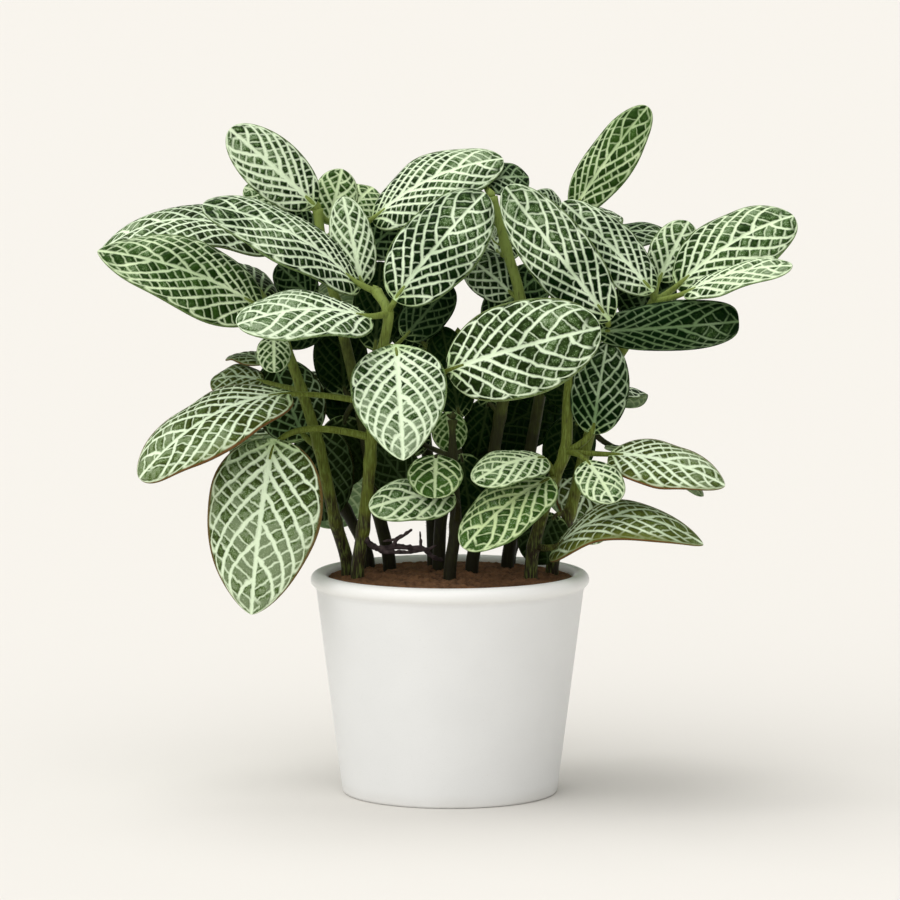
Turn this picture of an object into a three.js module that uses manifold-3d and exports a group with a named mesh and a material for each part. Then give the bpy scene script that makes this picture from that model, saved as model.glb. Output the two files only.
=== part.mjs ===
// A potted nerve plant: a tapered white pot with a rolled rim, a bed of potting soil flush with the rim,
// and a bush of creeping leafy stems that stand in the soil.
// Units are millimetres and +Z is up. The origin is the middle of the pot's flat base, and -Y is the front.
// Each leafy stem grew as one piece, so its stem, leaf stalks and leaf blades are one solid.

import * as THREE from "three";
import { mergeVertices } from "three/addons/utils/BufferGeometryUtils.js";
import Module from "manifold-3d";

const wasm = await Module();
wasm.setup();

// Driving dimensions
const POT = {
  baseRadius: 38.7,
  topRadius: 48.1, // outside of the wall where it meets the rim
  rimOuterRadius: 50,
  rimInnerRadius: 44,
  rimMiddleHeight: 77.0,
  rimHalfHeight: 2.8,
  rimStart: -0.32, // where the rim's curve starts below the outside, in half turns from its outermost point
  rimEnd: 1.5,
  rimSteps: 11,
  rimLap: 0.4, // how far the wall runs up behind the rim
  neckDrop: 4, // how far under the rim the inside reaches its full width
  wall: 3,
  floor: 4,
  edgeRound: 1.2,
  sides: 40,
};
const GAP = 0.3; // between solids that touch on the real plant
const SOIL = {
  edgeHeight: 77.6,
  moundRise: 1.3,
  unevenness: 0.5,
  lumpRates: [0.21, 0.26, 0.42], // how fast the lumps rise and fall in X, in Y and aslant, in radians a mm
  lumpShifts: [0.8, -0.4],
  slantShare: 0.5,
  flatEdge: 4, // the lumps die away towards the rim with this power of the radius
  bottomClearance: 0.3,
  topRings: 3,
  neckDrop: 5, // how far under the rim the soil narrows
  sides: 28,
};
const STEM = {
  footHeight: 60,
  straightHeights: [71, 82], // the foot stands straight up to the second of these
  footRadius: 2.5,
  tipRadius: 1.7,
  holeRadius: 3, // of the hole in the soil that the foot stands in
  holeDepth: 40,
  sides: 7,
  rings: 9,
};
const STALK = {
  baseRadius: 1.35,
  tipRadius: 0.95,
  reachIntoBlade: 0.07,
  bend: 0.45, // where the stalk's curve turns into the midrib, as a share of the stalk's reach
  sides: 4,
  rings: 3,
  shortRings: 2,
  shortReach: 14,
};
const BLADE = {
  thickness: 0.9,
  fold: 0.25, // how far each half rises beside the midrib, as a share of half the width
  crown: 0.4, // how far the margins bend down again
  wave: 0.035, // how far the margin waves up and down, as a share of the width
  waves: 1.5,
  widestSkew: 0.86, // under 1 puts the widest place nearer the base
  baseFullness: 0.56, // 0.5 would be the round end of an ellipse, and more is more pointed
  tipFullness: 0.5,
  lengthSteps: 6,
  widthSteps: 4,
  narrowWidth: 24, // blades narrower than this have only a fold across, with half the width steps
  shortLengthSteps: 4,
  shortLength: 36,
};

const WELD = 1e-4; // corners closer than this become one
const COLOURS = { pot: "#f1f1ee", soil: "#5b3f2a", leaf: "#3f6b35" };

// Solids from meshes, and meshes from solids
function solidOf(geometry) {
  const bare = new THREE.BufferGeometry();
  bare.setAttribute("position", geometry.getAttribute("position"));
  if (geometry.index) bare.setIndex(geometry.index);
  const merged = mergeVertices(bare, WELD);
  return new wasm.Manifold(
    new wasm.Mesh({
      numProp: 3,
      vertProperties: new Float32Array(merged.attributes.position.array),
      triVerts: new Uint32Array(merged.index.array),
    }),
  );
}

function geometryOf(solid) {
  const mesh = solid.getMesh();
  const geometry = new THREE.BufferGeometry();
  geometry.setAttribute("position", new THREE.BufferAttribute(new Float32Array(mesh.vertProperties), 3));
  geometry.setIndex(new THREE.BufferAttribute(new Uint32Array(mesh.triVerts), 1));
  geometry.computeVertexNormals();
  return geometry;
}

function meshGeometry(points, triangles) {
  const geometry = new THREE.BufferGeometry();
  const numbers = points.flatMap((point) => [point.x, point.y, point.z]);
  geometry.setAttribute("position", new THREE.Float32BufferAttribute(numbers, 3));
  geometry.setIndex(triangles.flat());
  return geometry;
}

// A lathe turned about the vertical axis. LatheGeometry turns about Y, so it is stood up onto Z.
function turned(profile, sides) {
  const lathe = new THREE.LatheGeometry(profile, sides);
  lathe.rotateX(Math.PI / 2);
  return lathe;
}

// The pot
// The profile runs up the outside, round the rolled rim, down the inside and back along the floor.
function potProfile() {
  const { baseRadius, topRadius, rimOuterRadius, rimInnerRadius, rimMiddleHeight, rimHalfHeight } = POT;
  const rimMiddleRadius = (rimOuterRadius + rimInnerRadius) / 2;
  const rimHalfWidth = (rimOuterRadius - rimInnerRadius) / 2;
  const rimFoot = rimMiddleHeight - rimHalfHeight;
  const profile = [
    new THREE.Vector2(0, 0),
    new THREE.Vector2(baseRadius - POT.edgeRound, 0),
    new THREE.Vector2(baseRadius, POT.edgeRound),
    new THREE.Vector2(topRadius, rimFoot + POT.rimLap),
  ];
  for (let i = 0; i <= POT.rimSteps; i += 1) {
    const turn = Math.PI * THREE.MathUtils.lerp(POT.rimStart, POT.rimEnd, i / POT.rimSteps);
    const inward = Math.cos(turn) < 0 && Math.sin(turn) < 0;
    if (inward) break;
    const radius = rimMiddleRadius + rimHalfWidth * Math.cos(turn);
    profile.push(new THREE.Vector2(radius, rimMiddleHeight + rimHalfHeight * Math.sin(turn)));
  }
  profile.push(new THREE.Vector2(rimInnerRadius, rimMiddleHeight));
  const neckHeight = rimFoot - POT.neckDrop;
  profile.push(new THREE.Vector2(innerRadiusAt(neckHeight), neckHeight));
  profile.push(new THREE.Vector2(innerRadiusAt(POT.floor), POT.floor));
  profile.push(new THREE.Vector2(0, POT.floor));
  return profile;
}

function outerRadiusAt(height) {
  return THREE.MathUtils.lerp(POT.baseRadius, POT.topRadius, height / POT.rimMiddleHeight);
}

function innerRadiusAt(height) {
  return Math.min(outerRadiusAt(height) - POT.wall, POT.rimInnerRadius);
}

function potSolid() {
  return solidOf(turned(potProfile(), POT.sides));
}

// The soil
// How high the top of the soil is at a place: a low mound, a little uneven.
function soilHeight(x, y) {
  const share = Math.min(1, Math.hypot(x, y) / POT.rimInnerRadius);
  const mound = SOIL.moundRise * (1 - share * share);
  const [rateX, rateY, rateSlant] = SOIL.lumpRates;
  const [shiftX, shiftY] = SOIL.lumpShifts;
  const crossed = Math.sin(x * rateX + shiftX) * Math.cos(y * rateY + shiftY);
  const lumps = crossed + SOIL.slantShare * Math.sin((x + y) * rateSlant);
  return SOIL.edgeHeight + mound + SOIL.unevenness * lumps * (1 - share ** SOIL.flatEdge);
}

function soilSolid(stems) {
  const edgeRadius = POT.rimInnerRadius - GAP;
  const floorHeight = POT.floor + SOIL.bottomClearance;
  const narrowHeight = POT.rimMiddleHeight - POT.rimHalfHeight - SOIL.neckDrop;
  const points = [new THREE.Vector3(0, 0, soilHeight(0, 0))];
  const triangles = [];
  const ringOf = (radius, heightAt) => {
    const first = points.length;
    for (let j = 0; j < SOIL.sides; j += 1) {
      const turn = (2 * Math.PI * j) / SOIL.sides;
      const x = radius * Math.cos(turn);
      const y = radius * Math.sin(turn);
      points.push(new THREE.Vector3(x, y, heightAt(x, y)));
    }
    return first;
  };
  const rings = [];
  for (let i = 1; i <= SOIL.topRings; i += 1) {
    rings.push(ringOf((edgeRadius * i) / SOIL.topRings, soilHeight));
  }
  rings.push(ringOf(innerRadiusAt(narrowHeight) - GAP, () => narrowHeight));
  rings.push(ringOf(innerRadiusAt(floorHeight) - GAP, () => floorHeight));
  const floorMiddle = points.length;
  points.push(new THREE.Vector3(0, 0, floorHeight));
  for (let j = 0; j < SOIL.sides; j += 1) {
    const k = (j + 1) % SOIL.sides;
    triangles.push([0, rings[0] + j, rings[0] + k]);
    for (let r = 0; r + 1 < rings.length; r += 1) {
      triangles.push([rings[r] + j, rings[r + 1] + j, rings[r + 1] + k]);
      triangles.push([rings[r] + j, rings[r + 1] + k, rings[r] + k]);
    }
    const last = rings[rings.length - 1];
    triangles.push([last + j, floorMiddle, last + k]);
  }
  let soil = solidOf(meshGeometry(points, triangles));
  for (const stem of stems) {
    const [x, y] = stem.foot;
    const hole = new THREE.CylinderGeometry(STEM.holeRadius, STEM.holeRadius, STEM.holeDepth, STEM.sides);
    hole.rotateX(Math.PI / 2);
    hole.translate(x, y, STEM.footHeight - GAP + STEM.holeDepth / 2);
    soil = soil.subtract(solidOf(hole));
  }
  return soil;
}

// A tapered round stem along a smooth curve
function taperedTube(curve, startRadius, endRadius, sides, rings) {
  const frames = curve.computeFrenetFrames(rings, false);
  const points = [];
  const triangles = [];
  for (let i = 0; i <= rings; i += 1) {
    const share = i / rings;
    const centre = curve.getPointAt(share);
    const radius = THREE.MathUtils.lerp(startRadius, endRadius, share);
    for (let j = 0; j < sides; j += 1) {
      const turn = (2 * Math.PI * j) / sides;
      points.push(
        centre
          .clone()
          .addScaledVector(frames.normals[i], radius * Math.cos(turn))
          .addScaledVector(frames.binormals[i], radius * Math.sin(turn)),
      );
    }
  }
  for (let i = 0; i < rings; i += 1) {
    for (let j = 0; j < sides; j += 1) {
      const k = (j + 1) % sides;
      const low = i * sides;
      const high = low + sides;
      triangles.push([low + j, low + k, high + k]);
      triangles.push([low + j, high + k, high + j]);
    }
  }
  const foot = points.length;
  points.push(curve.getPointAt(0));
  points.push(curve.getPointAt(1));
  for (let j = 0; j < sides; j += 1) {
    const k = (j + 1) % sides;
    triangles.push([foot, k, j]);
    triangles.push([foot + 1, rings * sides + j, rings * sides + k]);
  }
  return meshGeometry(points, triangles);
}

// A leaf blade
const vector = (xyz) => new THREE.Vector3(...xyz);

// The blade's own directions: along the midrib, out of the upper face, and across.
function bladeFrame(leaf) {
  const base = vector(leaf.base);
  const chord = vector(leaf.tip).sub(base);
  const length = chord.length();
  const along = chord.clone().normalize();
  const up = vector(leaf.face);
  up.addScaledVector(along, -up.dot(along)).normalize();
  const across = along.clone().cross(up);
  return { base, length, along, up, across };
}

// The width at a share u of the length, as a share of the full width: 0 at both ends and 1 at the widest.
function outline(leaf, u) {
  const { baseFullness, widestSkew } = BLADE;
  const { tipFullness } = leaf;
  const widest = baseFullness / (baseFullness + tipFullness);
  const fullest = widest ** baseFullness * (1 - widest) ** tipFullness;
  const t = u ** widestSkew;
  return (t ** baseFullness * (1 - t) ** tipFullness) / fullest;
}

// A point of the blade, with u from 0 at the base to 1 at the tip, and v from -1 to 1 across.
function bladePoint(leaf, u, v, lift = 0) {
  const { base, length, along, up, across } = bladeFrame(leaf);
  const half = (leaf.width / 2) * outline(leaf, u);
  const bow = 4 * u * (1 - u);
  const section = half * (BLADE.fold * Math.abs(v) - BLADE.crown * v * v);
  const wave = leaf.width * BLADE.wave * v * v * Math.sin(2 * Math.PI * BLADE.waves * u + leaf.base[0]) * bow;
  return base
    .clone()
    .addScaledVector(along, length * u)
    .addScaledVector(up, leaf.arch * bow + section + wave + lift)
    .addScaledVector(across, half * v);
}

// The closed blade. Both faces are split into triangles alike, so that a waved blade never crosses itself.
function bladeGeometry(leaf) {
  const { thickness } = BLADE;
  const narrow = leaf.width < BLADE.narrowWidth;
  const widthSteps = narrow ? BLADE.widthSteps / 2 : BLADE.widthSteps;
  const short = narrow && bladeFrame(leaf).length < BLADE.shortLength;
  const lengthSteps = short ? BLADE.shortLengthSteps : BLADE.lengthSteps;
  const points = [];
  const triangles = [];
  const face = (lift) => {
    const rows = [];
    for (let i = 0; i <= lengthSteps; i += 1) {
      const u = (1 - Math.cos((Math.PI * i) / lengthSteps)) / 2;
      const row = [];
      const pointed = i === 0 || i === lengthSteps;
      for (let j = 0; j <= widthSteps; j += 1) {
        const v = pointed ? 0 : (2 * j) / widthSteps - 1;
        if (!pointed || j === 0) points.push(bladePoint(leaf, u, v, lift));
        row.push(points.length - 1);
      }
      rows.push(row);
    }
    return rows;
  };
  const upper = face(thickness / 2);
  const lower = face(-thickness / 2);
  const add = (a, b, c) => {
    if (a !== b && b !== c && a !== c) triangles.push([a, b, c]);
  };
  for (let i = 0; i < lengthSteps; i += 1) {
    for (let j = 0; j < widthSteps; j += 1) {
      add(upper[i][j], upper[i + 1][j + 1], upper[i + 1][j]);
      add(upper[i][j], upper[i][j + 1], upper[i + 1][j + 1]);
      add(lower[i][j], lower[i + 1][j], lower[i + 1][j + 1]);
      add(lower[i][j], lower[i + 1][j + 1], lower[i][j + 1]);
    }
    const far = widthSteps;
    add(upper[i][0], upper[i + 1][0], lower[i + 1][0]);
    add(upper[i][0], lower[i + 1][0], lower[i][0]);
    add(upper[i][far], lower[i + 1][far], upper[i + 1][far]);
    add(upper[i][far], lower[i][far], lower[i + 1][far]);
  }
  return meshGeometry(points, triangles);
}

// The stalk leaves its stem, arches over and runs on into the root of the blade.
function stalkCurve(leaf, node) {
  const start = vector(node);
  const end = bladePoint(leaf, STALK.reachIntoBlade, 0);
  const arrival = end.clone().sub(bladePoint(leaf, 0, 0)).normalize();
  const reach = start.distanceTo(end);
  const bend = end.clone().addScaledVector(arrival, -STALK.bend * reach);
  return new THREE.QuadraticBezierCurve3(start, bend, end);
}

function leafSolid(leaf, node) {
  const blade = solidOf(bladeGeometry(leaf));
  const curve = stalkCurve(leaf, node);
  const rings = curve.getLength() < STALK.shortReach ? STALK.shortRings : STALK.rings;
  const stalk = taperedTube(curve, STALK.baseRadius, STALK.tipRadius, STALK.sides, rings);
  return blade.add(solidOf(stalk));
}

// A leafy stem
// Its foot stands straight in the soil, and its path then runs through the nodes where the leaf pairs grow.
function stemCurve(stem) {
  const [x, y] = stem.foot;
  const heights = [STEM.footHeight, ...STEM.straightHeights];
  const foot = heights.map((z) => new THREE.Vector3(x, y, z));
  return new THREE.CatmullRomCurve3([...foot, ...stem.nodes.map(vector)], false, "centripetal");
}

function leafyStemSolid(stem) {
  const tube = taperedTube(stemCurve(stem), STEM.footRadius, STEM.tipRadius, STEM.sides, STEM.rings);
  let solid = solidOf(tube);
  for (const leaf of stem.leaves) {
    solid = solid.add(leafSolid(leaf, stem.nodes[leaf.node]));
  }
  return solid;
}

// The plant
// Each stem gives where its foot stands in the soil, the nodes that it runs through, and its leaves.
// A leaf gives the node that its stalk grows from, counted from 0, the base and the tip of its blade, its
// width, the way that its upper face looks, and how far its midrib arches up.
function leaf(node, base, tip, width, face, arch, tipFullness = BLADE.tipFullness) {
  return { node, base, tip, width, face, arch, tipFullness };
}

const LEAFY_STEMS = [
  {
    name: "leafy_stem_front_left",
    foot: [-33, -7],
    nodes: [
      [-31, -8, 96], [-28.5, -9, 120], [-28, -10, 129], [-26.5, -11, 141],
      [-24, -13, 160], [-22, -14, 174], [-26, -8, 181],
    ],
    leaves: [
      leaf(2, [-62.4, -22, 130], [-70.2, -32, 68.5], 42, [-0.2, -0.95, 0.25], 4, 0.7), // low left
      leaf(3, [-57, -16, 145.6], [-109.2, -34, 117], 36, [-0.35, -0.52, 0.78], 8), // left
      leaf(3, [-1.1, -26, 154.5], [52.6, -40, 171], 35, [-0.05, -0.93, 0.3], 4), // centre
      leaf(4, [-19, -25, 163.7], [-16.3, -50, 125.4], 34, [0, -0.9, 0.42], 4, 0.74), // hanging
      leaf(4, [-16.5, 4, 163.4], [0.7, 14, 181.4], 16, [0.1, -0.85, 0.4], 2), // shaded
      leaf(5, [-27.9, -24, 172.9], [-74.1, -46, 172.4], 31, [0, -0.5, 0.86], 5), // middle left
      leaf(5, [-19.7, -18, 178.8], [12.5, -6, 216], 30, [-0.25, -0.93, 0.25], 3), // upper middle
      leaf(6, [-31.9, -6, 181.8], [-87.4, -16, 212.5], 30, [-0.05, -0.52, 0.85], 7), // upper left
      leaf(6, [-31.5, -1, 182], [-38.3, 7, 213.8], 16, [0.1, -0.95, 0.2], 2), // young
    ],
  },
  {
    name: "leafy_stem_left",
    foot: [-37, 6],
    nodes: [[-41, 3, 97], [-47, 0, 125], [-53, -1, 145], [-59, -3, 162], [-64, -4, 174]],
    leaves: [
      leaf(4, [-66.8, -12, 175.2], [-124.6, -18, 196.2], 31, [-0.1, -0.75, 0.65], 7, 0.72), // outer
      leaf(3, [-62.7, -9, 165.5], [-62.3, -17, 153], 12.5, [0, -0.9, 0.4], 1), // hanging young
      leaf(3, [-66.5, 10, 153.6], [-79.5, 22, 155], 14, [0, -0.2, 0.98], 2), // olive upper
      leaf(2, [-67, 6, 147.6], [-86, 10, 147.2], 18.5, [0, -0.5, 0.85], 2), // olive lower
      leaf(1, [-52, 2, 127], [-64, 16, 154], 26, [-0.2, -0.85, 0.5], 2), // shaded upper
      leaf(1, [-47, 9.5, 131], [-45.5, 16, 96], 23.5, [0, -0.95, -0.2], 1), // shaded hanging
      leaf(4, [-66, 4, 178], [-98, 42, 184], 30, [0, 0.1, 1], 7), // back
    ],
  },
  {
    name: "leafy_stem_upper_left",
    foot: [-22, 14],
    nodes: [[-26, 15, 100], [-33, 15, 140], [-41, 14, 175], [-46, 13, 197], [-47.5, 13, 209]],
    leaves: [
      leaf(4, [-48.3, 10, 210.6], [-78.6, 6, 238.1], 21.4, [-0.2, -0.88, 0.4], 2), // top
      leaf(4, [-43.5, 17, 203], [-39, 26, 222.6], 16.5, [0.2, -0.65, 0.7], 1), // young right
      leaf(3, [-37.6, 24, 205.4], [-27.9, 38, 215], 17, [0.3, -0.45, 0.85], 2), // young back
      leaf(4, [-57.3, 15, 210.9], [-74.1, 18, 216.2], 15, [-0.2, -0.6, 0.75], 1), // young left
      leaf(3, [-64, 15, 194.5], [-126, 18, 193], 34, [0, -0.38, 0.92], 12.5), // far left
      leaf(3, [-28, 13, 204.8], [19, 11, 227], 30, [-0.25, -0.62, 0.75], 6), // crown
      leaf(2, [-42, 24, 182], [-64, 56, 190], 32, [0, 0.2, 0.98], 6), // back upper
      leaf(1, [-38, 28, 146], [-62, 64, 134], 32, [-0.3, 0.5, 0.8], 6), // back lower
      leaf(2, [-49, 14, 176], [-62, 15, 189], 15, [0.1, -0.9, 0.4], 1), // deep upper
      leaf(1, [-38, 19, 141], [-41, 22, 169], 20, [0.1, -0.9, 0.2], 2), // deep middle
      leaf(1, [-38, 18.5, 134], [-38.5, 17.5, 108], 20, [0, -0.95, -0.1], 2), // deep lower
      leaf(3, [-31, 17, 193], [-12, 18, 208], 18, [0.1, -0.85, 0.4], 1), // deep crown
      leaf(2, [-44, 15.5, 170], [-60, 16, 160], 12, [0, -0.95, 0.2], 1), // deep side
      leaf(1, [-27, 13, 158], [-25, 15, 190], 18, [0, -0.95, 0.1], 1), // deep inner
      leaf(3, [-49, 14.5, 200], [-62, 16, 209], 13, [0, -0.9, 0.4], 1), // deep left
    ],
  },
  {
    name: "leafy_stem_centre",
    foot: [8, 6],
    nodes: [[12, 7, 100], [18, 7, 135], [23, 5, 160], [25, 4, 177], [20, 3, 196], [15, 2, 214]],
    leaves: [
      leaf(5, [12, 6.5, 219.2], [28.2, 13, 220.2], 15.5, [0, -0.8, 0.6], 1.5), // top back
      leaf(5, [6, 10, 214], [-10, 38, 219], 22, [0, 0.05, 1], 3), // top left
      leaf(3, [23, 4, 178.6], [5.7, 12, 192.5], 17, [-0.2, -0.9, 0.4], 2), // shaded
      leaf(4, [15, 2, 199], [12.9, 2, 204], 6, [0, -0.9, 0.4], 1), // young
      leaf(2, [26, 18, 158], [20, 60, 156], 32, [0.1, 0.1, 1], 7), // back right
      leaf(4, [18, 14, 190.5], [6, 50, 203], 27, [0, 0.1, 1], 5), // back left
      leaf(1, [14, 11, 141], [9, 12.5, 116.5], 15, [0, -0.95, 0], 1), // deep middle
    ],
  },
  {
    name: "leafy_stem_right",
    foot: [29, -7],
    nodes: [[30, -7.5, 90], [37, -10, 114], [41, -10, 124], [43, -7, 148], [50, -4, 160], [56, -8, 168]],
    leaves: [
      leaf(1, [34, -16, 122.4], [8.6, -36, 116], 20, [-0.1, -0.6, 0.8], 3), // small front
      leaf(1, [35.8, -17, 115.3], [5, -38, 92.8], 25, [-0.45, -0.8, 0.4], 4), // front
      leaf(2, [50.8, -13, 130.6], [56, -9, 163], 21, [-0.15, -0.95, 0.25], 2), // upright
      leaf(2, [56.5, -17, 123.8], [97, -30, 114], 23.9, [0.1, -0.62, 0.78], 4, 0.66), // low right
      leaf(2, [48.5, -25, 122.4], [57.3, -42, 109.5], 17, [0.15, -0.8, 0.55], 1), // small low
      leaf(0, [35.5, -14, 87], [89.5, -30, 93.2], 23.9, [0.1, -0.54, 0.86], 15, 0.66), // lowest
      leaf(5, [56.6, -20, 171.8], [19.7, -18, 219], 24, [-0.1, -0.95, 0.1], 3), // upper
      leaf(5, [50.5, -12, 167.2], [102.6, -12, 170.8], 18.2, [0.05, -0.95, -0.1], 2, 0.3), // dark right
      leaf(5, [52, -2, 172], [38, 4, 186], 18, [0.2, -0.9, 0.3], 2), // shaded
    ],
  },
  {
    name: "leafy_stem_far_right",
    foot: [37, 5],
    nodes: [[43, 6, 100], [52, 7, 135], [62, 4, 160], [73, -2, 177]],
    leaves: [
      leaf(3, [72.3, -7, 180.8], [40.1, 2, 212.2], 21, [0.3, -0.88, 0.4], 2), // inner
      leaf(3, [74.5, 4, 184], [85.5, 14, 204.5], 17, [0.1, -0.9, 0.4], 2), // young
      leaf(3, [80.8, -2, 181.9], [122.9, 6, 206.9], 31, [-0.3, -0.74, 0.6], 5.5), // outer upper
      leaf(3, [83, -12, 180.5], [120.5, -26, 191.4], 20, [0, -0.45, 0.9], 3), // outer lower
      leaf(2, [66, 16, 166], [94, 48, 168], 30, [0.1, 0.1, 1], 7), // back
      leaf(1, [46.5, 12, 134], [39, 13, 112], 19, [0, -0.95, -0.1], 1), // deep middle
      leaf(0, [38, 3, 100], [29, -1, 83], 19, [-0.2, -0.95, 0.1], 1), // deep lower
      leaf(2, [66, 8, 168], [75, 10.5, 189], 22, [0, -0.95, 0.2], 1), // deep upper
      leaf(1, [46, 9, 139], [34, 11, 149], 12, [0, -0.95, 0.1], 1), // deep left
    ],
  },
  {
    name: "leafy_stem_upper_right",
    foot: [21, 18],
    nodes: [[26, 18, 105], [34, 17, 150], [41, 15, 190], [43, 13, 205]],
    leaves: [
      leaf(3, [43.8, 11, 208], [70.7, 6, 246], 20.2, [-0.45, -0.8, 0.3], 1.5), // top
      leaf(3, [51, 17, 198], [80, 21, 199.5], 17, [0, -0.45, 0.9], 2), // right
      leaf(3, [39.5, 14, 208.5], [30, 14, 214.5], 11, [0, -0.7, 0.7], 1), // young left
      leaf(2, [44, 24, 198], [50, 66, 202], 32, [0.1, 0.15, 1], 7), // back upper
      leaf(1, [46, 28, 162], [78, 56, 157], 30, [0.3, 0.2, 0.95], 5), // back right
    ],
  },
  {
    name: "leafy_stem_inner_front",
    foot: [0, -12],
    nodes: [[2, -13, 98], [1, -12, 118], [1, -8, 135]],
    leaves: [
      leaf(0, [1.8, -22, 109.7], [-28.3, -34, 106.3], 19, [0, -0.75, 0.65], 3), // low left
      leaf(1, [-5, -18, 123.7], [-5.4, -35, 110.4], 20, [0, -0.75, 0.65], 2), // round
      leaf(2, [-1, -7, 138], [0.7, -11, 124], 13, [0, -0.95, 0.2], 1), // shaded
    ],
  },
  {
    name: "leafy_stem_inner_back",
    foot: [-4, 12],
    nodes: [[-3, 13, 100], [0, 15, 120], [4, 16, 145], [3, 15, 163]],
    leaves: [
      leaf(0, [-10, 7, 102], [-28, 6, 126], 20, [0.3, -0.9, 0.3], 1), // lowest left
      leaf(1, [10, 26, 123], [40, 37, 137], 26, [-0.2, -0.85, 0.5], 3), // low right
      leaf(1, [-8, 22, 122], [-46, 33, 142], 24, [0.2, -0.85, 0.4], 2), // low left
      leaf(3, [13, 19, 166], [36, 23, 187.5], 20, [-0.2, -0.85, 0.4], 2), // high right
      leaf(3, [-9, 20, 158], [-24, 28, 184], 21.8, [0.2, -0.85, 0.5], 2), // high left
      leaf(1, [3.5, 8.5, 134], [-3, 9.5, 167], 17, [0.1, -0.9, 0.1], 1), // middle left
      leaf(1, [4, 1.5, 122], [8, -3, 97], 18, [0, -0.95, -0.1], 1), // low front
    ],
  },
  {
    name: "leafy_stem_back",
    foot: [-6, 26],
    nodes: [[-7, 30, 105], [-10, 37, 145], [-6, 42, 176], [-4, 44, 188]],
    leaves: [
      leaf(3, [-10, 54, 191], [-6, 92, 182], 33, [0, 0.4, 0.9], 6), // top back
      leaf(3, [8, 46, 194], [38, 76, 196], 30, [0.2, 0.3, 0.9], 5), // top right
      leaf(2, [-16, 52, 180], [-48, 84, 166], 32, [-0.2, 0.5, 0.85], 6), // top left
      leaf(1, [2, 46, 146], [30, 80, 132], 34, [0.3, 0.6, 0.75], 5), // low right
      leaf(1, [-18, 48, 142], [-34, 80, 116], 34, [-0.3, 0.7, 0.6], 5), // low left
    ],
  },
  {
    name: "leafy_stem_back_right",
    foot: [22, 32],
    nodes: [[30, 36, 98], [40, 42, 118], [48, 46, 132]],
    leaves: [
      leaf(2, [57, 46, 120], [93, 50, 101], 29, [0.3, 0.2, 0.9], 4), // outer
      leaf(2, [52, 54, 136], [64, 88, 130], 30, [0.2, 0.5, 0.85], 6), // top
      leaf(1, [40, 50, 114], [50, 78, 88], 30, [0.3, 0.8, 0.5], 5), // low back
      leaf(1, [45.5, 35, 112], [53, 27, 86], 25, [0.5, -0.7, 0.3], 3), // low front
    ],
  },
  {
    name: "leafy_stem_back_left",
    foot: [-30, 26],
    nodes: [[-38, 32, 98], [-48, 38, 116], [-54, 40, 128]],
    leaves: [
      leaf(2, [-64, 38, 132], [-104, 34, 122], 32, [-0.2, 0, 0.95], 7), // outer
      leaf(2, [-58, 50, 126], [-74, 82, 110], 30, [-0.4, 0.5, 0.8], 6), // top
      leaf(1, [-44, 46, 112], [-42, 76, 86], 30, [-0.1, 0.8, 0.6], 5), // low back
      leaf(1, [-58, 30, 108], [-82, 24, 86], 27, [-0.8, -0.1, 0.6], 5), // low outer
    ],
  },
];

// The assembly
function named(name, solid, colour, roughness) {
  const material = new THREE.MeshStandardMaterial({ color: colour, roughness, metalness: 0 });
  const mesh = new THREE.Mesh(geometryOf(solid), material);
  mesh.name = name;
  return mesh;
}

const plant = new THREE.Group();
plant.add(named("pot", potSolid(), COLOURS.pot, 0.45));
plant.add(named("soil", soilSolid(LEAFY_STEMS), COLOURS.soil, 0.95));
for (const stem of LEAFY_STEMS) {
  plant.add(named(stem.name, leafyStemSolid(stem), COLOURS.leaf, 0.5));
}

export default plant;
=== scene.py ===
from functools import partialmethod

import bpy
import numpy as np
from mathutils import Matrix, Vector


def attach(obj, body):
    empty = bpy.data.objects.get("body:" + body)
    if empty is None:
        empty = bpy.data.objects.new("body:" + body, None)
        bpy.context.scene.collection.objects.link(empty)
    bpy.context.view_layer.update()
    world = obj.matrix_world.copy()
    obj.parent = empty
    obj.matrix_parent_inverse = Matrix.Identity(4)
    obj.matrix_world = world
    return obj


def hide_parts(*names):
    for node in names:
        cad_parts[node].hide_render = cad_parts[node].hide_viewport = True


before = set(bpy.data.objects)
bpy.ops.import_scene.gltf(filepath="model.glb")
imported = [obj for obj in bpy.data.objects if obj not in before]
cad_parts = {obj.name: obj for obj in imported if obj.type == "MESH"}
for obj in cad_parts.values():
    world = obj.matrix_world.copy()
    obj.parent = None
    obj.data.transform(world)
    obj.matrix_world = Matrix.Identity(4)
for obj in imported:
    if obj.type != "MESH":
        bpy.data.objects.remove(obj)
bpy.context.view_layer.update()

# The pot.
# A tapered pot of thick white plastic with a satin finish, moulded in one shot.
# Its wall rolls over at the top into a plump rim, and the foot has a small rounded edge.
POT_FOOT_RADIUS = 0.0387
POT_TOP_RADIUS = 0.0481
POT_WALL = 0.003
POT_FLOOR = 0.004
POT_EDGE_ROUND = 0.0012
RIM_INNER_RADIUS = 0.044
RIM_MIDDLE_RADIUS = 0.047
RIM_HALF_WIDTH = 0.003
RIM_MIDDLE_HEIGHT = 0.077
RIM_HALF_HEIGHT = 0.0028
RIM_FOOT_HEIGHT = RIM_MIDDLE_HEIGHT - RIM_HALF_HEIGHT
NECK_DEPTH = 0.004
POLE_RADIUS = 0.002
POT_SIDES = 192
POT_WHITE = (0.83, 0.84, 0.84, 1)
POT_SHADE = (0.79, 0.8, 0.8, 1)
POT_RIM_PAINTED_LIGHT = (0.91, 0.915, 0.905, 1)
POT_DUST = (0.5, 0.48, 0.43, 1)
POT_FOOT_DARK = (0.6, 0.575, 0.52, 1)


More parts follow.
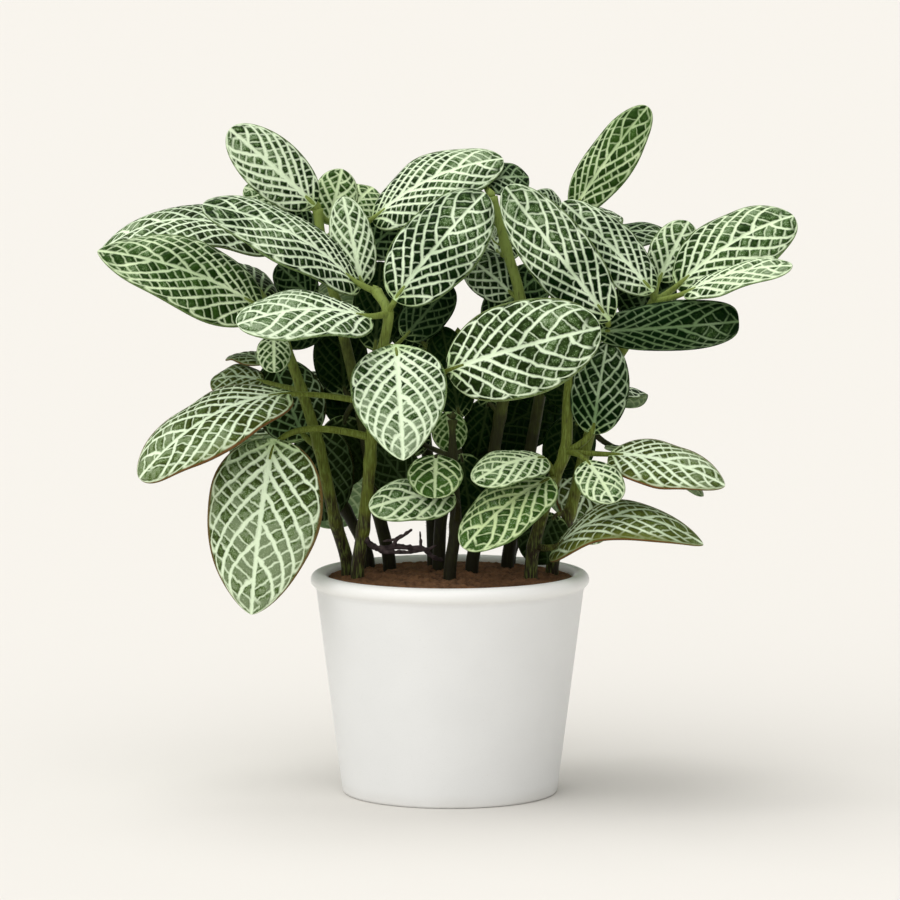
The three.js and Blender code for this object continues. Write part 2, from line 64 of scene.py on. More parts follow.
def closed_skin(rings, start, end):
    """A closed surface over rings of points, shape (rings, points round, 3).

    Each ring is joined to the next by quads, and a fan of triangles closes each end at its pole. The faces
    are turned over where the volume that they enclose comes out negative, so they look outwards.
    """
    count, around = rings.shape[:2]
    points = np.concatenate([rings.reshape(-1, 3), [start], [end]])
    here = np.arange(around)
    after = (here + 1) % around
    low = np.arange(count - 1)[:, None] * around
    high = low + around
    quads = np.stack([low + here, low + after, high + after, high + here], -1).reshape(-1, 4)
    pole = np.full(around, count * around)
    last = pole - around
    fans = ((after, here, pole), (last + here, last + after, pole + 1))
    fans = np.concatenate([np.stack(fan, -1) for fan in fans])
    a, b, c, d = (points[quads[:, k]] for k in range(4))
    volume = np.sum(a * (np.cross(b, c) + np.cross(c, d)))
    a, b, c = (points[fans[:, k]] for k in range(3))
    if volume + np.sum(a * np.cross(b, c)) < 0:
        quads, fans = quads[:, ::-1], fans[:, ::-1]
    return points, quads, fans


def add_object(name, data):
    made = bpy.data.objects.new(name, data)
    bpy.context.scene.collection.objects.link(made)
    return made


def make_piece(name, finish, skins, traits=None, uv=None):
    """One object out of closed skins. traits holds vectors for its points by name, and uv a pair for each."""
    points, corners, starts = [], [], []
    offset, corner_count = 0, 0
    for skin_points, quads, fans in skins:
        points.append(skin_points)
        for faces in (quads, fans):
            corners.append((faces + offset).ravel())
            starts.append(corner_count + np.arange(len(faces)) * faces.shape[1])
            corner_count += faces.size
        offset += len(skin_points)
    points, corners, starts = (np.concatenate(part) for part in (points, corners, starts))
    mesh = bpy.data.meshes.new(name)
    mesh.vertices.add(len(points))
    mesh.vertices.foreach_set("co", points.astype(np.float32).ravel())
    mesh.loops.add(len(corners))
    mesh.loops.foreach_set("vertex_index", corners.astype(np.int32))
    mesh.polygons.add(len(starts))
    mesh.polygons.foreach_set("loop_start", starts.astype(np.int32))
    mesh.polygons.foreach_set("use_smooth", np.ones(len(starts), bool))
    mesh.update(calc_edges=True)
    for trait, values in (traits or {}).items():
        layer = mesh.attributes.new(trait, "FLOAT_VECTOR", "POINT")
        layer.data.foreach_set("vector", values.astype(np.float32).ravel())
    if uv is not None:
        layer = mesh.uv_layers.new(name="blade")
        layer.data.foreach_set("uv", uv[corners].astype(np.float32).ravel())
    mesh.materials.append(finish.material)
    return add_object(name, mesh)


class Finish:
    """A material under construction. A call adds one node, or a short row of them, and gives its output."""

    def __init__(self, name):
        self.material = bpy.data.materials.new(name)
        self.material.use_nodes = True
        self.tree = self.material.node_tree
        self.surface = self.tree.nodes["Principled BSDF"]
        self.where = self.node("TexCoord", {}).outputs["Object"]

    def node(self, kind, inputs, **settings):
        made = self.tree.nodes.new("ShaderNode" + kind)
        for key, value in settings.items():
            setattr(made, key, value)
        for key, value in inputs.items():
            self.feed(made, key, value)
        return made

    def feed(self, made, key, value):
        if isinstance(value, bpy.types.NodeSocket):
            self.tree.links.new(value, made.inputs[key])
        else:
            made.inputs[key].default_value = value

    def math(self, operation, *parts):
        return self.node("Math", dict(enumerate(parts)), operation=operation).outputs[0]

    def in_turn(self, operation, total, *parts):
        for part in parts:
            total = self.math(operation, total, part)
        return total

    plus = partialmethod(in_turn, "ADD")
    minus = partialmethod(in_turn, "SUBTRACT")
    times = partialmethod(in_turn, "MULTIPLY")
    least = partialmethod(in_turn, "MINIMUM")
    most = partialmethod(in_turn, "MAXIMUM")

    def ramp(self, value, low, high, to_low=0.0, to_high=1.0, smooth=True):
        """value carried from low..high to to_low..to_high, held at the ends."""
        inputs = dict(enumerate((value, low, high, to_low, to_high)))
        kind = "SMOOTHSTEP" if smooth else "LINEAR"
        return self.node("MapRange", inputs, interpolation_type=kind).outputs["Result"]

    def blend(self, share, first, second):
        return self.node("Mix", {"Factor": share, 6: first, 7: second}, data_type="RGBA").outputs[2]

    def parts(self, vector):
        return self.node("SeparateXYZ", {"Vector": vector}).outputs

    def noise(self, scale, detail, stretch=None):
        where = self.where
        if stretch:
            where = self.node("Mapping", {"Vector": where, "Scale": stretch}).outputs["Vector"]
        inputs = {"Vector": where, "Scale": scale, "Detail": detail}
        return self.node("TexNoise", inputs).outputs["Fac"]

    def bump(self, height, distance, strength, **below):
        inputs = {"Height": height, "Distance": distance, "Strength": strength, **below}
        return self.node("Bump", inputs).outputs["Normal"]

    def set(self, **inputs):
        for key, value in inputs.items():
            self.feed(self.surface, key.replace("_", " "), value)


def straight_runs(points, steps):
    """Straight runs between points, each split evenly, as one array of (radius, height)."""
    points = np.array(points)
    share = np.linspace(0, 1, steps)[:, None]
    return np.concatenate([a + (b - a) * share for a, b in zip(points, points[1:])])


def full_turn(steps):
    return np.linspace(0, 2 * np.pi, steps, endpoint=False)


def turned(profile, sides):
    """profile of (radius, height) turned about the upright axis: x = r cos t, y = r sin t, z = height."""
    turn = full_turn(sides)
    radius, height = profile[:, 0:1], profile[:, 1:2]
    return np.stack(np.broadcast_arrays(radius * np.cos(turn), radius * np.sin(turn), height), -1)


def arc(middle, half_sizes, first, last, steps):
    """Part of an ellipse: middle + (half_sizes) (cos t, sin t), with t from first to last half turns."""
    turn = np.linspace(first, last, steps) * np.pi
    return middle + half_sizes * np.stack([np.cos(turn), np.sin(turn)], -1)


def inside_radius(height):
    """The inside wall's radius, which grows evenly with height up to the rim's inner edge."""
    slope = (POT_TOP_RADIUS - POT_FOOT_RADIUS) / RIM_MIDDLE_HEIGHT
    return min(POT_FOOT_RADIUS + slope * height - POT_WALL, RIM_INNER_RADIUS)


def pot_profile():
    """Out along the bottom, round the foot, up the outside, over the rim and down the inside to the floor."""
    foot_middle = POT_FOOT_RADIUS - POT_EDGE_ROUND
    bottom = straight_runs([(POLE_RADIUS, 0), (foot_middle, 0)], 12)
    foot = arc((foot_middle, POT_EDGE_ROUND), (POT_EDGE_ROUND, POT_EDGE_ROUND), -0.5, 0, 7)
    wall = straight_runs([foot[-1], (POT_TOP_RADIUS, RIM_FOOT_HEIGHT + 0.0002)], 40)
    rim = arc((RIM_MIDDLE_RADIUS, RIM_MIDDLE_HEIGHT), (RIM_HALF_WIDTH, RIM_HALF_HEIGHT), -0.3, 1, 40)
    neck_height = RIM_FOOT_HEIGHT - NECK_DEPTH
    neck = (inside_radius(neck_height), neck_height)
    floor = (inside_radius(POT_FLOOR), POT_FLOOR)
    inside = straight_runs([rim[-1], neck, floor, (POLE_RADIUS, POT_FLOOR)], 14)
    return np.concatenate([bottom[:-1], foot, wall[1:], rim, inside[1:]])


pot_skin = closed_skin(turned(pot_profile(), POT_SIDES), (0, 0, 0), (0, 0, POT_FLOOR))
satin = Finish("satin_white_plastic")
cloud = satin.noise(45, 3)
haze = satin.noise(900, 2)
dust = satin.ramp(satin.noise(2600, 1), 0.66, 0.74)
height = satin.parts(satin.where)["Z"]
# Painted light: the rim, above its foot, is made whiter than the body, as where light falls on its rounded
# top.
painted_rim_light = satin.ramp(height, RIM_FOOT_HEIGHT - 0.001, RIM_FOOT_HEIGHT + 0.001)
tint = satin.blend(satin.ramp(cloud, 0.3, 0.75, 0, 0.55), POT_WHITE, POT_SHADE)
tint = satin.blend(painted_rim_light, tint, POT_RIM_PAINTED_LIGHT)
tint = satin.blend(satin.times(dust, 0.12), tint, POT_DUST)
# The body grows darker towards the foot, in cloudy patches, over the lowest 6 mm.
tint = satin.blend(satin.times(satin.ramp(height, 0.006, 0, 0, 0.5), cloud), tint, POT_FOOT_DARK)
rough = satin.ramp(haze, 0.3, 0.7, 0.36, 0.5)
bumps = satin.bump(satin.noise(700, 2), 0.00004, 0.5)
satin.set(Base_Color=tint, Roughness=rough, Normal=bumps)
pot = make_piece("white_pot", satin, [pot_skin])
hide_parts("pot")
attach(pot, "root")

# The soil.
# Dark brown potting soil, filled to just under the rim and pressed down a little by hand.
# It is crumbly: rounded crumbs of peat and bark lie on a low uneven mound.
SOIL_EDGE_RADIUS = 0.0437
SOIL_EDGE_HEIGHT = 0.0776
SOIL_MOUND = 0.0013
SOIL_UNEVENNESS = 0.0005
SOIL_FLOOR_HEIGHT = 0.0043
SOIL_NECK_DEPTH = 0.005
SOIL_GAP = 0.0003
CRUMB_KINDS = ((0.0031, 0.0011, 11), (0.0016, 0.0005, 12))
CRUMB_MEAN = 0.45
CRUMB_SHIFTS, CRUMB_RADII, CRUMB_HEIGHTS = (0.15, 0.85), (0.35, 0.72), (0.4, 1)
CRUMB_SQUARES = 64
SOIL_RINGS = 84
SOIL_SIDES = 300
SOIL_BROWN = (0.2, 0.1, 0.047, 1)
SOIL_DARK = (0.065, 0.033, 0.017, 1)
SOIL_PALE = (0.33, 0.21, 0.12, 1)


def crumbs(x, y, size, seed):
    """Rounded crumbs, one in each square of a lattice, pushed off its middle at random.

    The height at a point is that of the tallest dome, sqrt(1 - (distance / radius)²) times the crumb's own
    height, of the nine crumbs around it.
    """
    draw = np.random.default_rng(seed)
    span = CRUMB_SQUARES
    ranges = (CRUMB_SHIFTS, CRUMB_SHIFTS, CRUMB_RADII, CRUMB_HEIGHTS)
    shift_x, shift_y, radius, tall = (draw.uniform(a, b, (span, span)) for a, b in ranges)
    column, row = np.floor(x / size).astype(int), np.floor(y / size).astype(int)
    best = np.zeros_like(x)
    for across in (-1, 0, 1):
        for up in (-1, 0, 1):
            i, j = (column + across) % span, (row + up) % span
            far_x = x / size - (column + across + shift_x[i, j])
            far_y = y / size - (row + up + shift_y[i, j])
            inside = 1 - (far_x**2 + far_y**2) / radius[i, j] ** 2
            best = np.maximum(best, tall[i, j] * np.sqrt(np.clip(inside, 0, 1)))
    return best


def soil_height(x, y):
    """A low mound that sinks with the square of the radius, with slow waves and two kinds of crumbs on it.

    The waves are sin 210x · cos 260y and half of sin 420(x + y). Both waves and crumbs calm down at the wall.
    """
    share = np.minimum(1, np.hypot(x, y) / RIM_INNER_RADIUS)
    waves = np.sin(210 * x + 0.8) * np.cos(260 * y - 0.4) + 0.5 * np.sin(420 * (x + y))
    top = SOIL_EDGE_HEIGHT + SOIL_MOUND * (1 - share**2) + SOIL_UNEVENNESS * waves * (1 - share**4)
    calm = np.clip((1.02 - share) / 0.08, 0.25, 1)
    for size, height, seed in CRUMB_KINDS:
        top = top + calm * height * (crumbs(x, y, size, seed) - CRUMB_MEAN)
    return top


turn = full_turn(SOIL_SIDES)
radius = SOIL_EDGE_RADIUS * (np.arange(1, SOIL_RINGS + 1) / SOIL_RINGS)[:, None]
x, y = radius * np.cos(turn), radius * np.sin(turn)
top_rings = np.stack([x, y, soil_height(x, y)], -1)
side_heights = (RIM_FOOT_HEIGHT - SOIL_NECK_DEPTH, SOIL_FLOOR_HEIGHT)
side_rings = turned(np.array([(inside_radius(z) - SOIL_GAP, z) for z in side_heights]), SOIL_SIDES)
top_middle = (0, 0, soil_height(np.zeros(1), np.zeros(1))[0])
soil_skin = closed_skin(np.concatenate([top_rings, side_rings]), top_middle, (0, 0, SOIL_FLOOR_HEIGHT))
earth = Finish("crumbly_potting_soil")
grain = earth.node("TexVoronoi", {"Vector": earth.where, "Scale": 620})
patches = earth.noise(160, 4)
fibres = earth.noise(1500, 3)
tint = earth.blend(earth.ramp(patches, 0.3, 0.7), SOIL_DARK, SOIL_BROWN)
tint = earth.blend(earth.ramp(grain.outputs["Distance"], 0.1, 0.6, 0, 0.5), tint, SOIL_BROWN)
tint = earth.blend(earth.ramp(fibres, 0.62, 0.76, 0, 0.6), tint, SOIL_PALE)
bumps = earth.bump(earth.plus(fibres, grain.outputs["Distance"]), 0.0005, 0.8)
earth.set(Base_Color=tint, Roughness=0.95, Specular_IOR_Level=0.2, Normal=bumps)
soil = make_piece("potting_soil", earth, [soil_skin])
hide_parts("soil")
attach(soil, "root")

# The leafy stems.
# Soft creeping stems, each grown as one piece: round and fleshy, a little thicker at the nodes, where
# the leaf stalks stand in pairs, olive brown at the foot and fresh green at the top, and downy all over.
STEM_FOOT_HEIGHTS = (0.06, 0.071, 0.082)
STEM_FOOT_RADIUS = 0.00251
STEM_TIP_RADIUS = 0.0017
NODE_SWELLING = 0.00035
NODE_REACH = 0.0022
STALK_FOOT_RADIUS = 0.00135
STALK_THICKNESSES = ((0, 0.12, 0.75, 1), (1.15, 1, 0.75, 0.4))
STALK_REACH = 0.12
STALK_FLAT = 0.82
THIN_STALK_LEAF = 0.02
BUD_SIZE = 0.0019
STEM_HAIRS, STEM_HAIR_LENGTH = 420, 0.0009
STALK_HAIRS, STALK_HAIR_LENGTH = 60, 0.0006
HAIR_HALF_WIDTH = 0.000035
BURIED_RINGS = 12
STEM_STEADY = (0, 1, 0.2)
STEM_SIDES, STEM_RINGS = 20, 110
STALK_SIDES, STALK_RINGS = 14, 26
STEM_OLIVE = (0.1, 0.105, 0.012, 1)
STEM_GREEN = (0.105, 0.135, 0.017, 1)
STEM_FRESH = (0.24, 0.32, 0.075, 1)
STEM_BROWN = (0.025, 0.017, 0.01, 1)
STEM_SHADED = (0.014, 0.013, 0.005, 1)
OUTER_STEMS = ("front_left", "left", "right", "far_right")

MILLIMETRE = 0.001
BLADE_FOLD = 0.25
BLADE_CROWN = 0.4
BLADE_WAVE = 0.035
BLADE_WAVES = 1.5
BLADE_SKEW = 0.86
BASE_FULLNESS = 0.56
TIP_FULLNESS = 0.5


def metres(millimetres):
    return MILLIMETRE * np.array(millimetres)


def leaf(node, base, tip, width, face, arch, tone, age=0, closeness=1, tip_fullness=TIP_FULLNESS):
    """A leaf, in millimetres: its node's number, its blade from base to tip and its width.

    face is the way its upper face looks, and arch is how high its middle rises. tone runs from below 0, dark
    with faint veins, to above 1, pale with broad cream veins; it is partly the leaf's own colour and partly
    painted light and shade: low tones are painted shade for leaves deep in the bush or shaded by others, and
    the highest bring a painted grey sheen. age runs from -1, young and yellow green, to 1, old with a brown
    margin. closeness is how near its rungs lie, beside most leaves.
    """
    return {"node": node, "base": metres(base), "tip": metres(tip), "width": metres(width),
            "face": np.array(face), "arch": metres(arch), "tone": tone, "age": age,
            "closeness": closeness, "tip_fullness": tip_fullness}


LEAFY_STEMS = {}


def leafy_stem(name, foot, nodes, leaves):
    """Notes a stem, in millimetres: where it leaves the soil, its nodes from the lowest up and its leaves."""
    LEAFY_STEMS[name] = {"foot": metres(foot), "nodes": metres(nodes), "leaves": list(leaves.values())}


leafy_stem("front_left", foot=(-33, -7), nodes=[
    (-31, -8, 96), (-28.5, -9, 120), (-28, -10, 129), (-26.5, -11, 141), (-24, -13, 160), (-22, -14, 174),
    (-26, -8, 181),
], leaves={
    "low left": leaf(2, (-62.4, -22, 130), (-70.2, -32, 68.5), 42,
                     (-0.2, -0.95, 0.25), 4, 1.22, 0.35, 0.92, 0.7),
    "left": leaf(3, (-57, -16, 145.6), (-109.2, -34, 117), 36, (-0.35, -0.52, 0.78), 8, 0.85, 0.45, 0.95),
    "centre": leaf(3, (-1.1, -26, 154.5), (52.6, -40, 171), 35, (-0.05, -0.93, 0.3), 4, 0.76, 0.1, 0.76),
    "hanging": leaf(4, (-19, -25, 163.7), (-16.3, -50, 125.4), 34, (0, -0.9, 0.42), 4, 1.2, 0, 1.3, 0.74),
    "shaded": leaf(4, (-16.5, 4, 163.4), (0.7, 14, 181.4), 16, (0.1, -0.85, 0.4), 2, -0.12),
    "middle left": leaf(5, (-27.9, -24, 172.9), (-74.1, -46, 172.4), 31, (0, -0.5, 0.86), 5, 1.05),
    "upper middle": leaf(5, (-19.7, -18, 178.8), (12.5, -6, 216), 30, (-0.25, -0.93, 0.25), 3, 0.6),
    "upper left": leaf(6, (-31.9, -6, 181.8), (-87.4, -16, 212.5), 30, (-0.05, -0.52, 0.85), 7, 0.68, 0, 1.2),
    "young": leaf(6, (-31.5, -1, 182), (-38.3, 7, 213.8), 16, (0.1, -0.95, 0.2), 2, 0.85, -0.15, 1.1),
})
leafy_stem("left", foot=(-37, 6), nodes=[
    (-41, 3, 97), (-47, 0, 125), (-53, -1, 145), (-59, -3, 162), (-64, -4, 174),
], leaves={
    "outer": leaf(4, (-66.8, -12, 175.2), (-124.6, -18, 196.2), 31,
                  (-0.1, -0.75, 0.65), 7, 0.55, -0.45, 1.15, 0.72),
    "hanging young": leaf(3, (-62.7, -9, 165.5), (-62.3, -17, 153), 12.5, (0, -0.9, 0.4), 1, 0.5, -0.5),
    "olive upper": leaf(3, (-66.5, 10, 153.6), (-79.5, 22, 155), 14, (0, -0.2, 0.98), 2, 0.35, 0.6),
    "olive lower": leaf(2, (-67, 6, 147.6), (-86, 10, 147.2), 18.5, (0, -0.5, 0.85), 2, 0.35, 0.7),
    "shaded upper": leaf(1, (-52, 2, 127), (-64, 16, 154), 26, (-0.2, -0.85, 0.5), 2, 0, 0.1),
    "shaded hanging": leaf(1, (-47, 9.5, 131), (-45.5, 16, 96), 23.5, (0, -0.95, -0.2), 1, -0.12, 0.1),
    "back": leaf(4, (-66, 4, 178), (-98, 42, 184), 30, (0, 0.1, 1), 7, 0.5, 0.1),
})
leafy_stem("upper_left", foot=(-22, 14), nodes=[
    (-26, 15, 100), (-33, 15, 140), (-41, 14, 175), (-46, 13, 197), (-47.5, 13, 209),
], leaves={
    "top": leaf(4, (-48.3, 10, 210.6), (-78.6, 6, 238.1), 21.4, (-0.2, -0.88, 0.4), 2, 0.92, -0.05, 1.1),
    "young right": leaf(4, (-43.5, 17, 203), (-39, 26, 222.6), 16.5, (0.2, -0.65, 0.7), 1, 0.7, -0.75, 1.1),
    "young back": leaf(3, (-37.6, 24, 205.4), (-27.9, 38, 215), 17, (0.3, -0.45, 0.85), 2, 0.7, -0.85, 1.1),
    "young left": leaf(4, (-57.3, 15, 210.9), (-74.1, 18, 216.2), 15, (-0.2, -0.6, 0.75), 1, 0.7, -0.5),
    "far left": leaf(3, (-64, 15, 194.5), (-126, 18, 193), 34, (0, -0.38, 0.92), 12.5, 0.72, 0.1, 1.2),
    "crown": leaf(3, (-28, 13, 204.8), (19, 11, 227), 30, (-0.25, -0.62, 0.75), 6, 0.8, -0.1, 1.3),
    "back upper": leaf(2, (-42, 24, 182), (-64, 56, 190), 32, (0, 0.2, 0.98), 6, 0.6),
    "back lower": leaf(1, (-38, 28, 146), (-62, 64, 134), 32, (-0.3, 0.5, 0.8), 6, 0.5, 0.1),
    "deep upper": leaf(2, (-49, 14, 176), (-62, 15, 189), 15, (0.1, -0.9, 0.4), 1, -0.1),
    "deep middle": leaf(1, (-38, 19, 141), (-41, 22, 169), 20, (0.1, -0.9, 0.2), 2, -0.22),
    "deep lower": leaf(1, (-38, 18.5, 134), (-38.5, 17.5, 108), 20, (0, -0.95, -0.1), 2, -0.22, 0.1),
    "deep crown": leaf(3, (-31, 17, 193), (-12, 18, 208), 18, (0.1, -0.85, 0.4), 1, -0.05),
    "deep side": leaf(2, (-44, 15.5, 170), (-60, 16, 160), 12, (0, -0.95, 0.2), 1, -0.15),
    "deep inner": leaf(1, (-27, 13, 158), (-25, 15, 190), 18, (0, -0.95, 0.1), 1, -0.18),
    "deep left": leaf(3, (-49, 14.5, 200), (-62, 16, 209), 13, (0, -0.9, 0.4), 1, 0.3),
})
leafy_stem("centre", foot=(8, 6), nodes=[
    (12, 7, 100), (18, 7, 135), (23, 5, 160), (25, 4, 177), (20, 3, 196), (15, 2, 214),
], leaves={
    "top back": leaf(5, (12, 6.5, 219.2), (28.2, 13, 220.2), 15.5, (0, -0.8, 0.6), 1.5, 0.1),
    "top left": leaf(5, (6, 10, 214), (-10, 38, 219), 22, (0, 0.05, 1), 3, 0.3),
    "shaded": leaf(3, (23, 4, 178.6), (5.7, 12, 192.5), 17, (-0.2, -0.9, 0.4), 2, 0.3),
    "young": leaf(4, (15, 2, 199), (12.9, 2, 204), 6, (0, -0.9, 0.4), 1, 0.6),
    "back right": leaf(2, (26, 18, 158), (20, 60, 156), 32, (0.1, 0.1, 1), 7, 0.5),
    "back left": leaf(4, (18, 14, 190.5), (6, 50, 203), 27, (0, 0.1, 1), 5, 0.55),
    "deep middle": leaf(1, (14, 11, 141), (9, 12.5, 116.5), 15, (0, -0.95, 0), 1, -0.25),
})
leafy_stem("right", foot=(29, -7), nodes=[
    (30, -7.5, 90), (37, -10, 114), (41, -10, 124), (43, -7, 148), (50, -4, 160), (56, -8, 168),
], leaves={
    "small front": leaf(1, (34, -16, 122.4), (8.6, -36, 116), 20, (-0.1, -0.6, 0.8), 3, 0.95, -0.6),
    "front": leaf(1, (35.8, -17, 115.3), (5, -38, 92.8), 25, (-0.45, -0.8, 0.4), 4, 0.78, -1, 0.85),
    "upright": leaf(2, (50.8, -13, 130.6), (56, -9, 163), 21, (-0.15, -0.95, 0.25), 2, 0.2, 0, 0.85),
    "low right": leaf(2, (56.5, -17, 123.8), (97, -30, 114), 23.9,
                      (0.1, -0.62, 0.78), 4, 0.82, 0.6, 0.95, 0.66),
    "small low": leaf(2, (48.5, -25, 122.4), (57.3, -42, 109.5), 17, (0.15, -0.8, 0.55), 1, 0.9, -0.5),
    "lowest": leaf(0, (35.5, -14, 87), (89.5, -30, 93.2), 23.9, (0.1, -0.54, 0.86), 15, 0.58, 0.9, 1, 0.66),
    "upper": leaf(5, (56.6, -20, 171.8), (19.7, -18, 219), 24, (-0.1, -0.95, 0.1), 3, 0.6, 0, 0.92),
    "dark right": leaf(5, (50.5, -12, 167.2), (102.6, -12, 170.8), 18.2,
                       (0.05, -0.95, -0.1), 2, -0.08, 0, 0.9, 0.3),
    "shaded": leaf(5, (52, -2, 172), (38, 4, 186), 18, (0.2, -0.9, 0.3), 2, -0.05),
})
leafy_stem("far_right", foot=(37, 5), nodes=[
    (43, 6, 100), (52, 7, 135), (62, 4, 160), (73, -2, 177),
], leaves={
    "inner": leaf(3, (72.3, -7, 180.8), (40.1, 2, 212.2), 21, (0.3, -0.88, 0.4), 2, 0.62, 0, 1.25),
    "young": leaf(3, (74.5, 4, 184), (85.5, 14, 204.5), 17, (0.1, -0.9, 0.4), 2, 0.7, -0.3, 0.9),
    "outer upper": leaf(3, (80.8, -2, 181.9), (122.9, 6, 206.9), 31,
                        (-0.3, -0.74, 0.6), 5.5, 0.78, -0.3, 0.95),
    "outer lower": leaf(3, (83, -12, 180.5), (120.5, -26, 191.4), 20, (0, -0.45, 0.9), 3, 1, -0.25),
    "back": leaf(2, (66, 16, 166), (94, 48, 168), 30, (0.1, 0.1, 1), 7, 0.5, 0.1),
    "deep middle": leaf(1, (46.5, 12, 134), (39, 13, 112), 19, (0, -0.95, -0.1), 1, -0.25),
    "deep lower": leaf(0, (38, 3, 100), (29, -1, 83), 19, (-0.2, -0.95, 0.1), 1, -0.15, 0.1),
    "deep upper": leaf(2, (66, 8, 168), (75, 10.5, 189), 22, (0, -0.95, 0.2), 1, -0.1),
    "deep left": leaf(1, (46, 9, 139), (34, 11, 149), 12, (0, -0.95, 0.1), 1, -0.25),
})
leafy_stem("upper_right", foot=(21, 18), nodes=[
    (26, 18, 105), (34, 17, 150), (41, 15, 190), (43, 13, 205),
], leaves={
    "top": leaf(3, (43.8, 11, 208), (70.7, 6, 246), 20.2, (-0.45, -0.8, 0.3), 1.5, 0.36, -0.6, 0.95),
    "right": leaf(3, (51, 17, 198), (80, 21, 199.5), 17, (0, -0.45, 0.9), 2, 0.3),
    "young left": leaf(3, (39.5, 14, 208.5), (30, 14, 214.5), 11, (0, -0.7, 0.7), 1, 0.4),
    "back upper": leaf(2, (44, 24, 198), (50, 66, 202), 32, (0.1, 0.15, 1), 7, 0.65),
    "back right": leaf(1, (46, 28, 162), (78, 56, 157), 30, (0.3, 0.2, 0.95), 5, 0.55, 0.1),
})
leafy_stem("inner_front", foot=(0, -12), nodes=[(2, -13, 98), (1, -12, 118), (1, -8, 135)], leaves={
    "low left": leaf(0, (1.8, -22, 109.7), (-28.3, -34, 106.3), 19, (0, -0.75, 0.65), 3, 0.9, -0.5, 0.8),
    "round": leaf(1, (-5, -18, 123.7), (-5.4, -35, 110.4), 20, (0, -0.75, 0.65), 2, 0.6, -0.9, 0.6),
    "shaded": leaf(2, (-1, -7, 138), (0.7, -11, 124), 13, (0, -0.95, 0.2), 1, -0.05, -0.6),
})
leafy_stem("inner_back", foot=(-4, 12), nodes=[
    (-3, 13, 100), (0, 15, 120), (4, 16, 145), (3, 15, 163),
], leaves={
    "lowest left": leaf(0, (-10, 7, 102), (-28, 6, 126), 20, (0.3, -0.9, 0.3), 1, -0.15, 0.1),
    "low right": leaf(1, (10, 26, 123), (40, 37, 137), 26, (-0.2, -0.85, 0.5), 3, -0.22),
    "low left": leaf(1, (-8, 22, 122), (-46, 33, 142), 24, (0.2, -0.85, 0.4), 2, -0.2),
    "high right": leaf(3, (13, 19, 166), (36, 23, 187.5), 20, (-0.2, -0.85, 0.4), 2, -0.05),
    "high left": leaf(3, (-9, 20, 158), (-24, 28, 184), 21.8, (0.2, -0.85, 0.5), 2, -0.12),
    "middle left": leaf(1, (3.5, 8.5, 134), (-3, 9.5, 167), 17, (0.1, -0.9, 0.1), 1, -0.2),
    "low front": leaf(1, (4, 1.5, 122), (8, -3, 97), 18, (0, -0.95, -0.1), 1, -0.22),
})
leafy_stem("back", foot=(-6, 26), nodes=[
    (-7, 30, 105), (-10, 37, 145), (-6, 42, 176), (-4, 44, 188),
], leaves={
    "top back": leaf(3, (-10, 54, 191), (-6, 92, 182), 33, (0, 0.4, 0.9), 6, 0.7),
    "top right": leaf(3, (8, 46, 194), (38, 76, 196), 30, (0.2, 0.3, 0.9), 5, 0.6),
    "top left": leaf(2, (-16, 52, 180), (-48, 84, 166), 32, (-0.2, 0.5, 0.85), 6, 0.65),
    "low right": leaf(1, (2, 46, 146), (30, 80, 132), 34, (0.3, 0.6, 0.75), 5, 0.6, 0.1),
    "low left": leaf(1, (-18, 48, 142), (-34, 80, 116), 34, (-0.3, 0.7, 0.6), 5, 0.7, 0.2),
})
leafy_stem("back_right", foot=(22, 32), nodes=[(30, 36, 98), (40, 42, 118), (48, 46, 132)], leaves={
    "outer": leaf(2, (57, 46, 120), (93, 50, 101), 29, (0.3, 0.2, 0.9), 4, 0.6, 0.1),
    "top": leaf(2, (52, 54, 136), (64, 88, 130), 30, (0.2, 0.5, 0.85), 6, 0.6),
    "low back": leaf(1, (40, 50, 114), (50, 78, 88), 30, (0.3, 0.8, 0.5), 5, 0.7, 0.3),
    "low front": leaf(1, (45.5, 35, 112), (53, 27, 86), 25, (0.5, -0.7, 0.3), 3, 0.6, 0.4),
})
leafy_stem("back_left", foot=(-30, 26), nodes=[(-38, 32, 98), (-48, 38, 116), (-54, 40, 128)], leaves={
    "outer": leaf(2, (-64, 38, 132), (-104, 34, 122), 32, (-0.2, 0, 0.95), 7, 0.65, 0.1),
    "top": leaf(2, (-58, 50, 126), (-74, 82, 110), 30, (-0.4, 0.5, 0.8), 6, 0.6, 0.1),
    "low back": leaf(1, (-44, 46, 112), (-42, 76, 86), 30, (-0.1, 0.8, 0.6), 5, 0.75, 0.2),
    "low outer": leaf(1, (-58, 30, 108), (-82, 24, 86), 27, (-0.8, -0.1, 0.6), 5, 0.6, 0.4),
})


def unit(vectors):
    return vectors / np.linalg.norm(vectors, axis=-1, keepdims=True)


def blade_directions(leaf):
    """Along the midrib, out of the upper face, and across, with the blade's length."""
    chord = leaf["tip"] - leaf["base"]
    along = unit(chord)
    up = unit(leaf["face"] - along * (leaf["face"] @ along))
    return along, up, np.cross(along, up), np.linalg.norm(chord)


def half_width(leaf, u):
    """Half the blade's width: s^b (1 - s)^t over its own highest value, where s is u to the power 0.86."""
    b, t = BASE_FULLNESS, leaf["tip_fullness"]
    widest = b / (b + t)
    s = np.clip(u, 0, 1) ** BLADE_SKEW
    return leaf["width"] / 2 * s**b * (1 - s) ** t / (widest**b * (1 - widest) ** t)


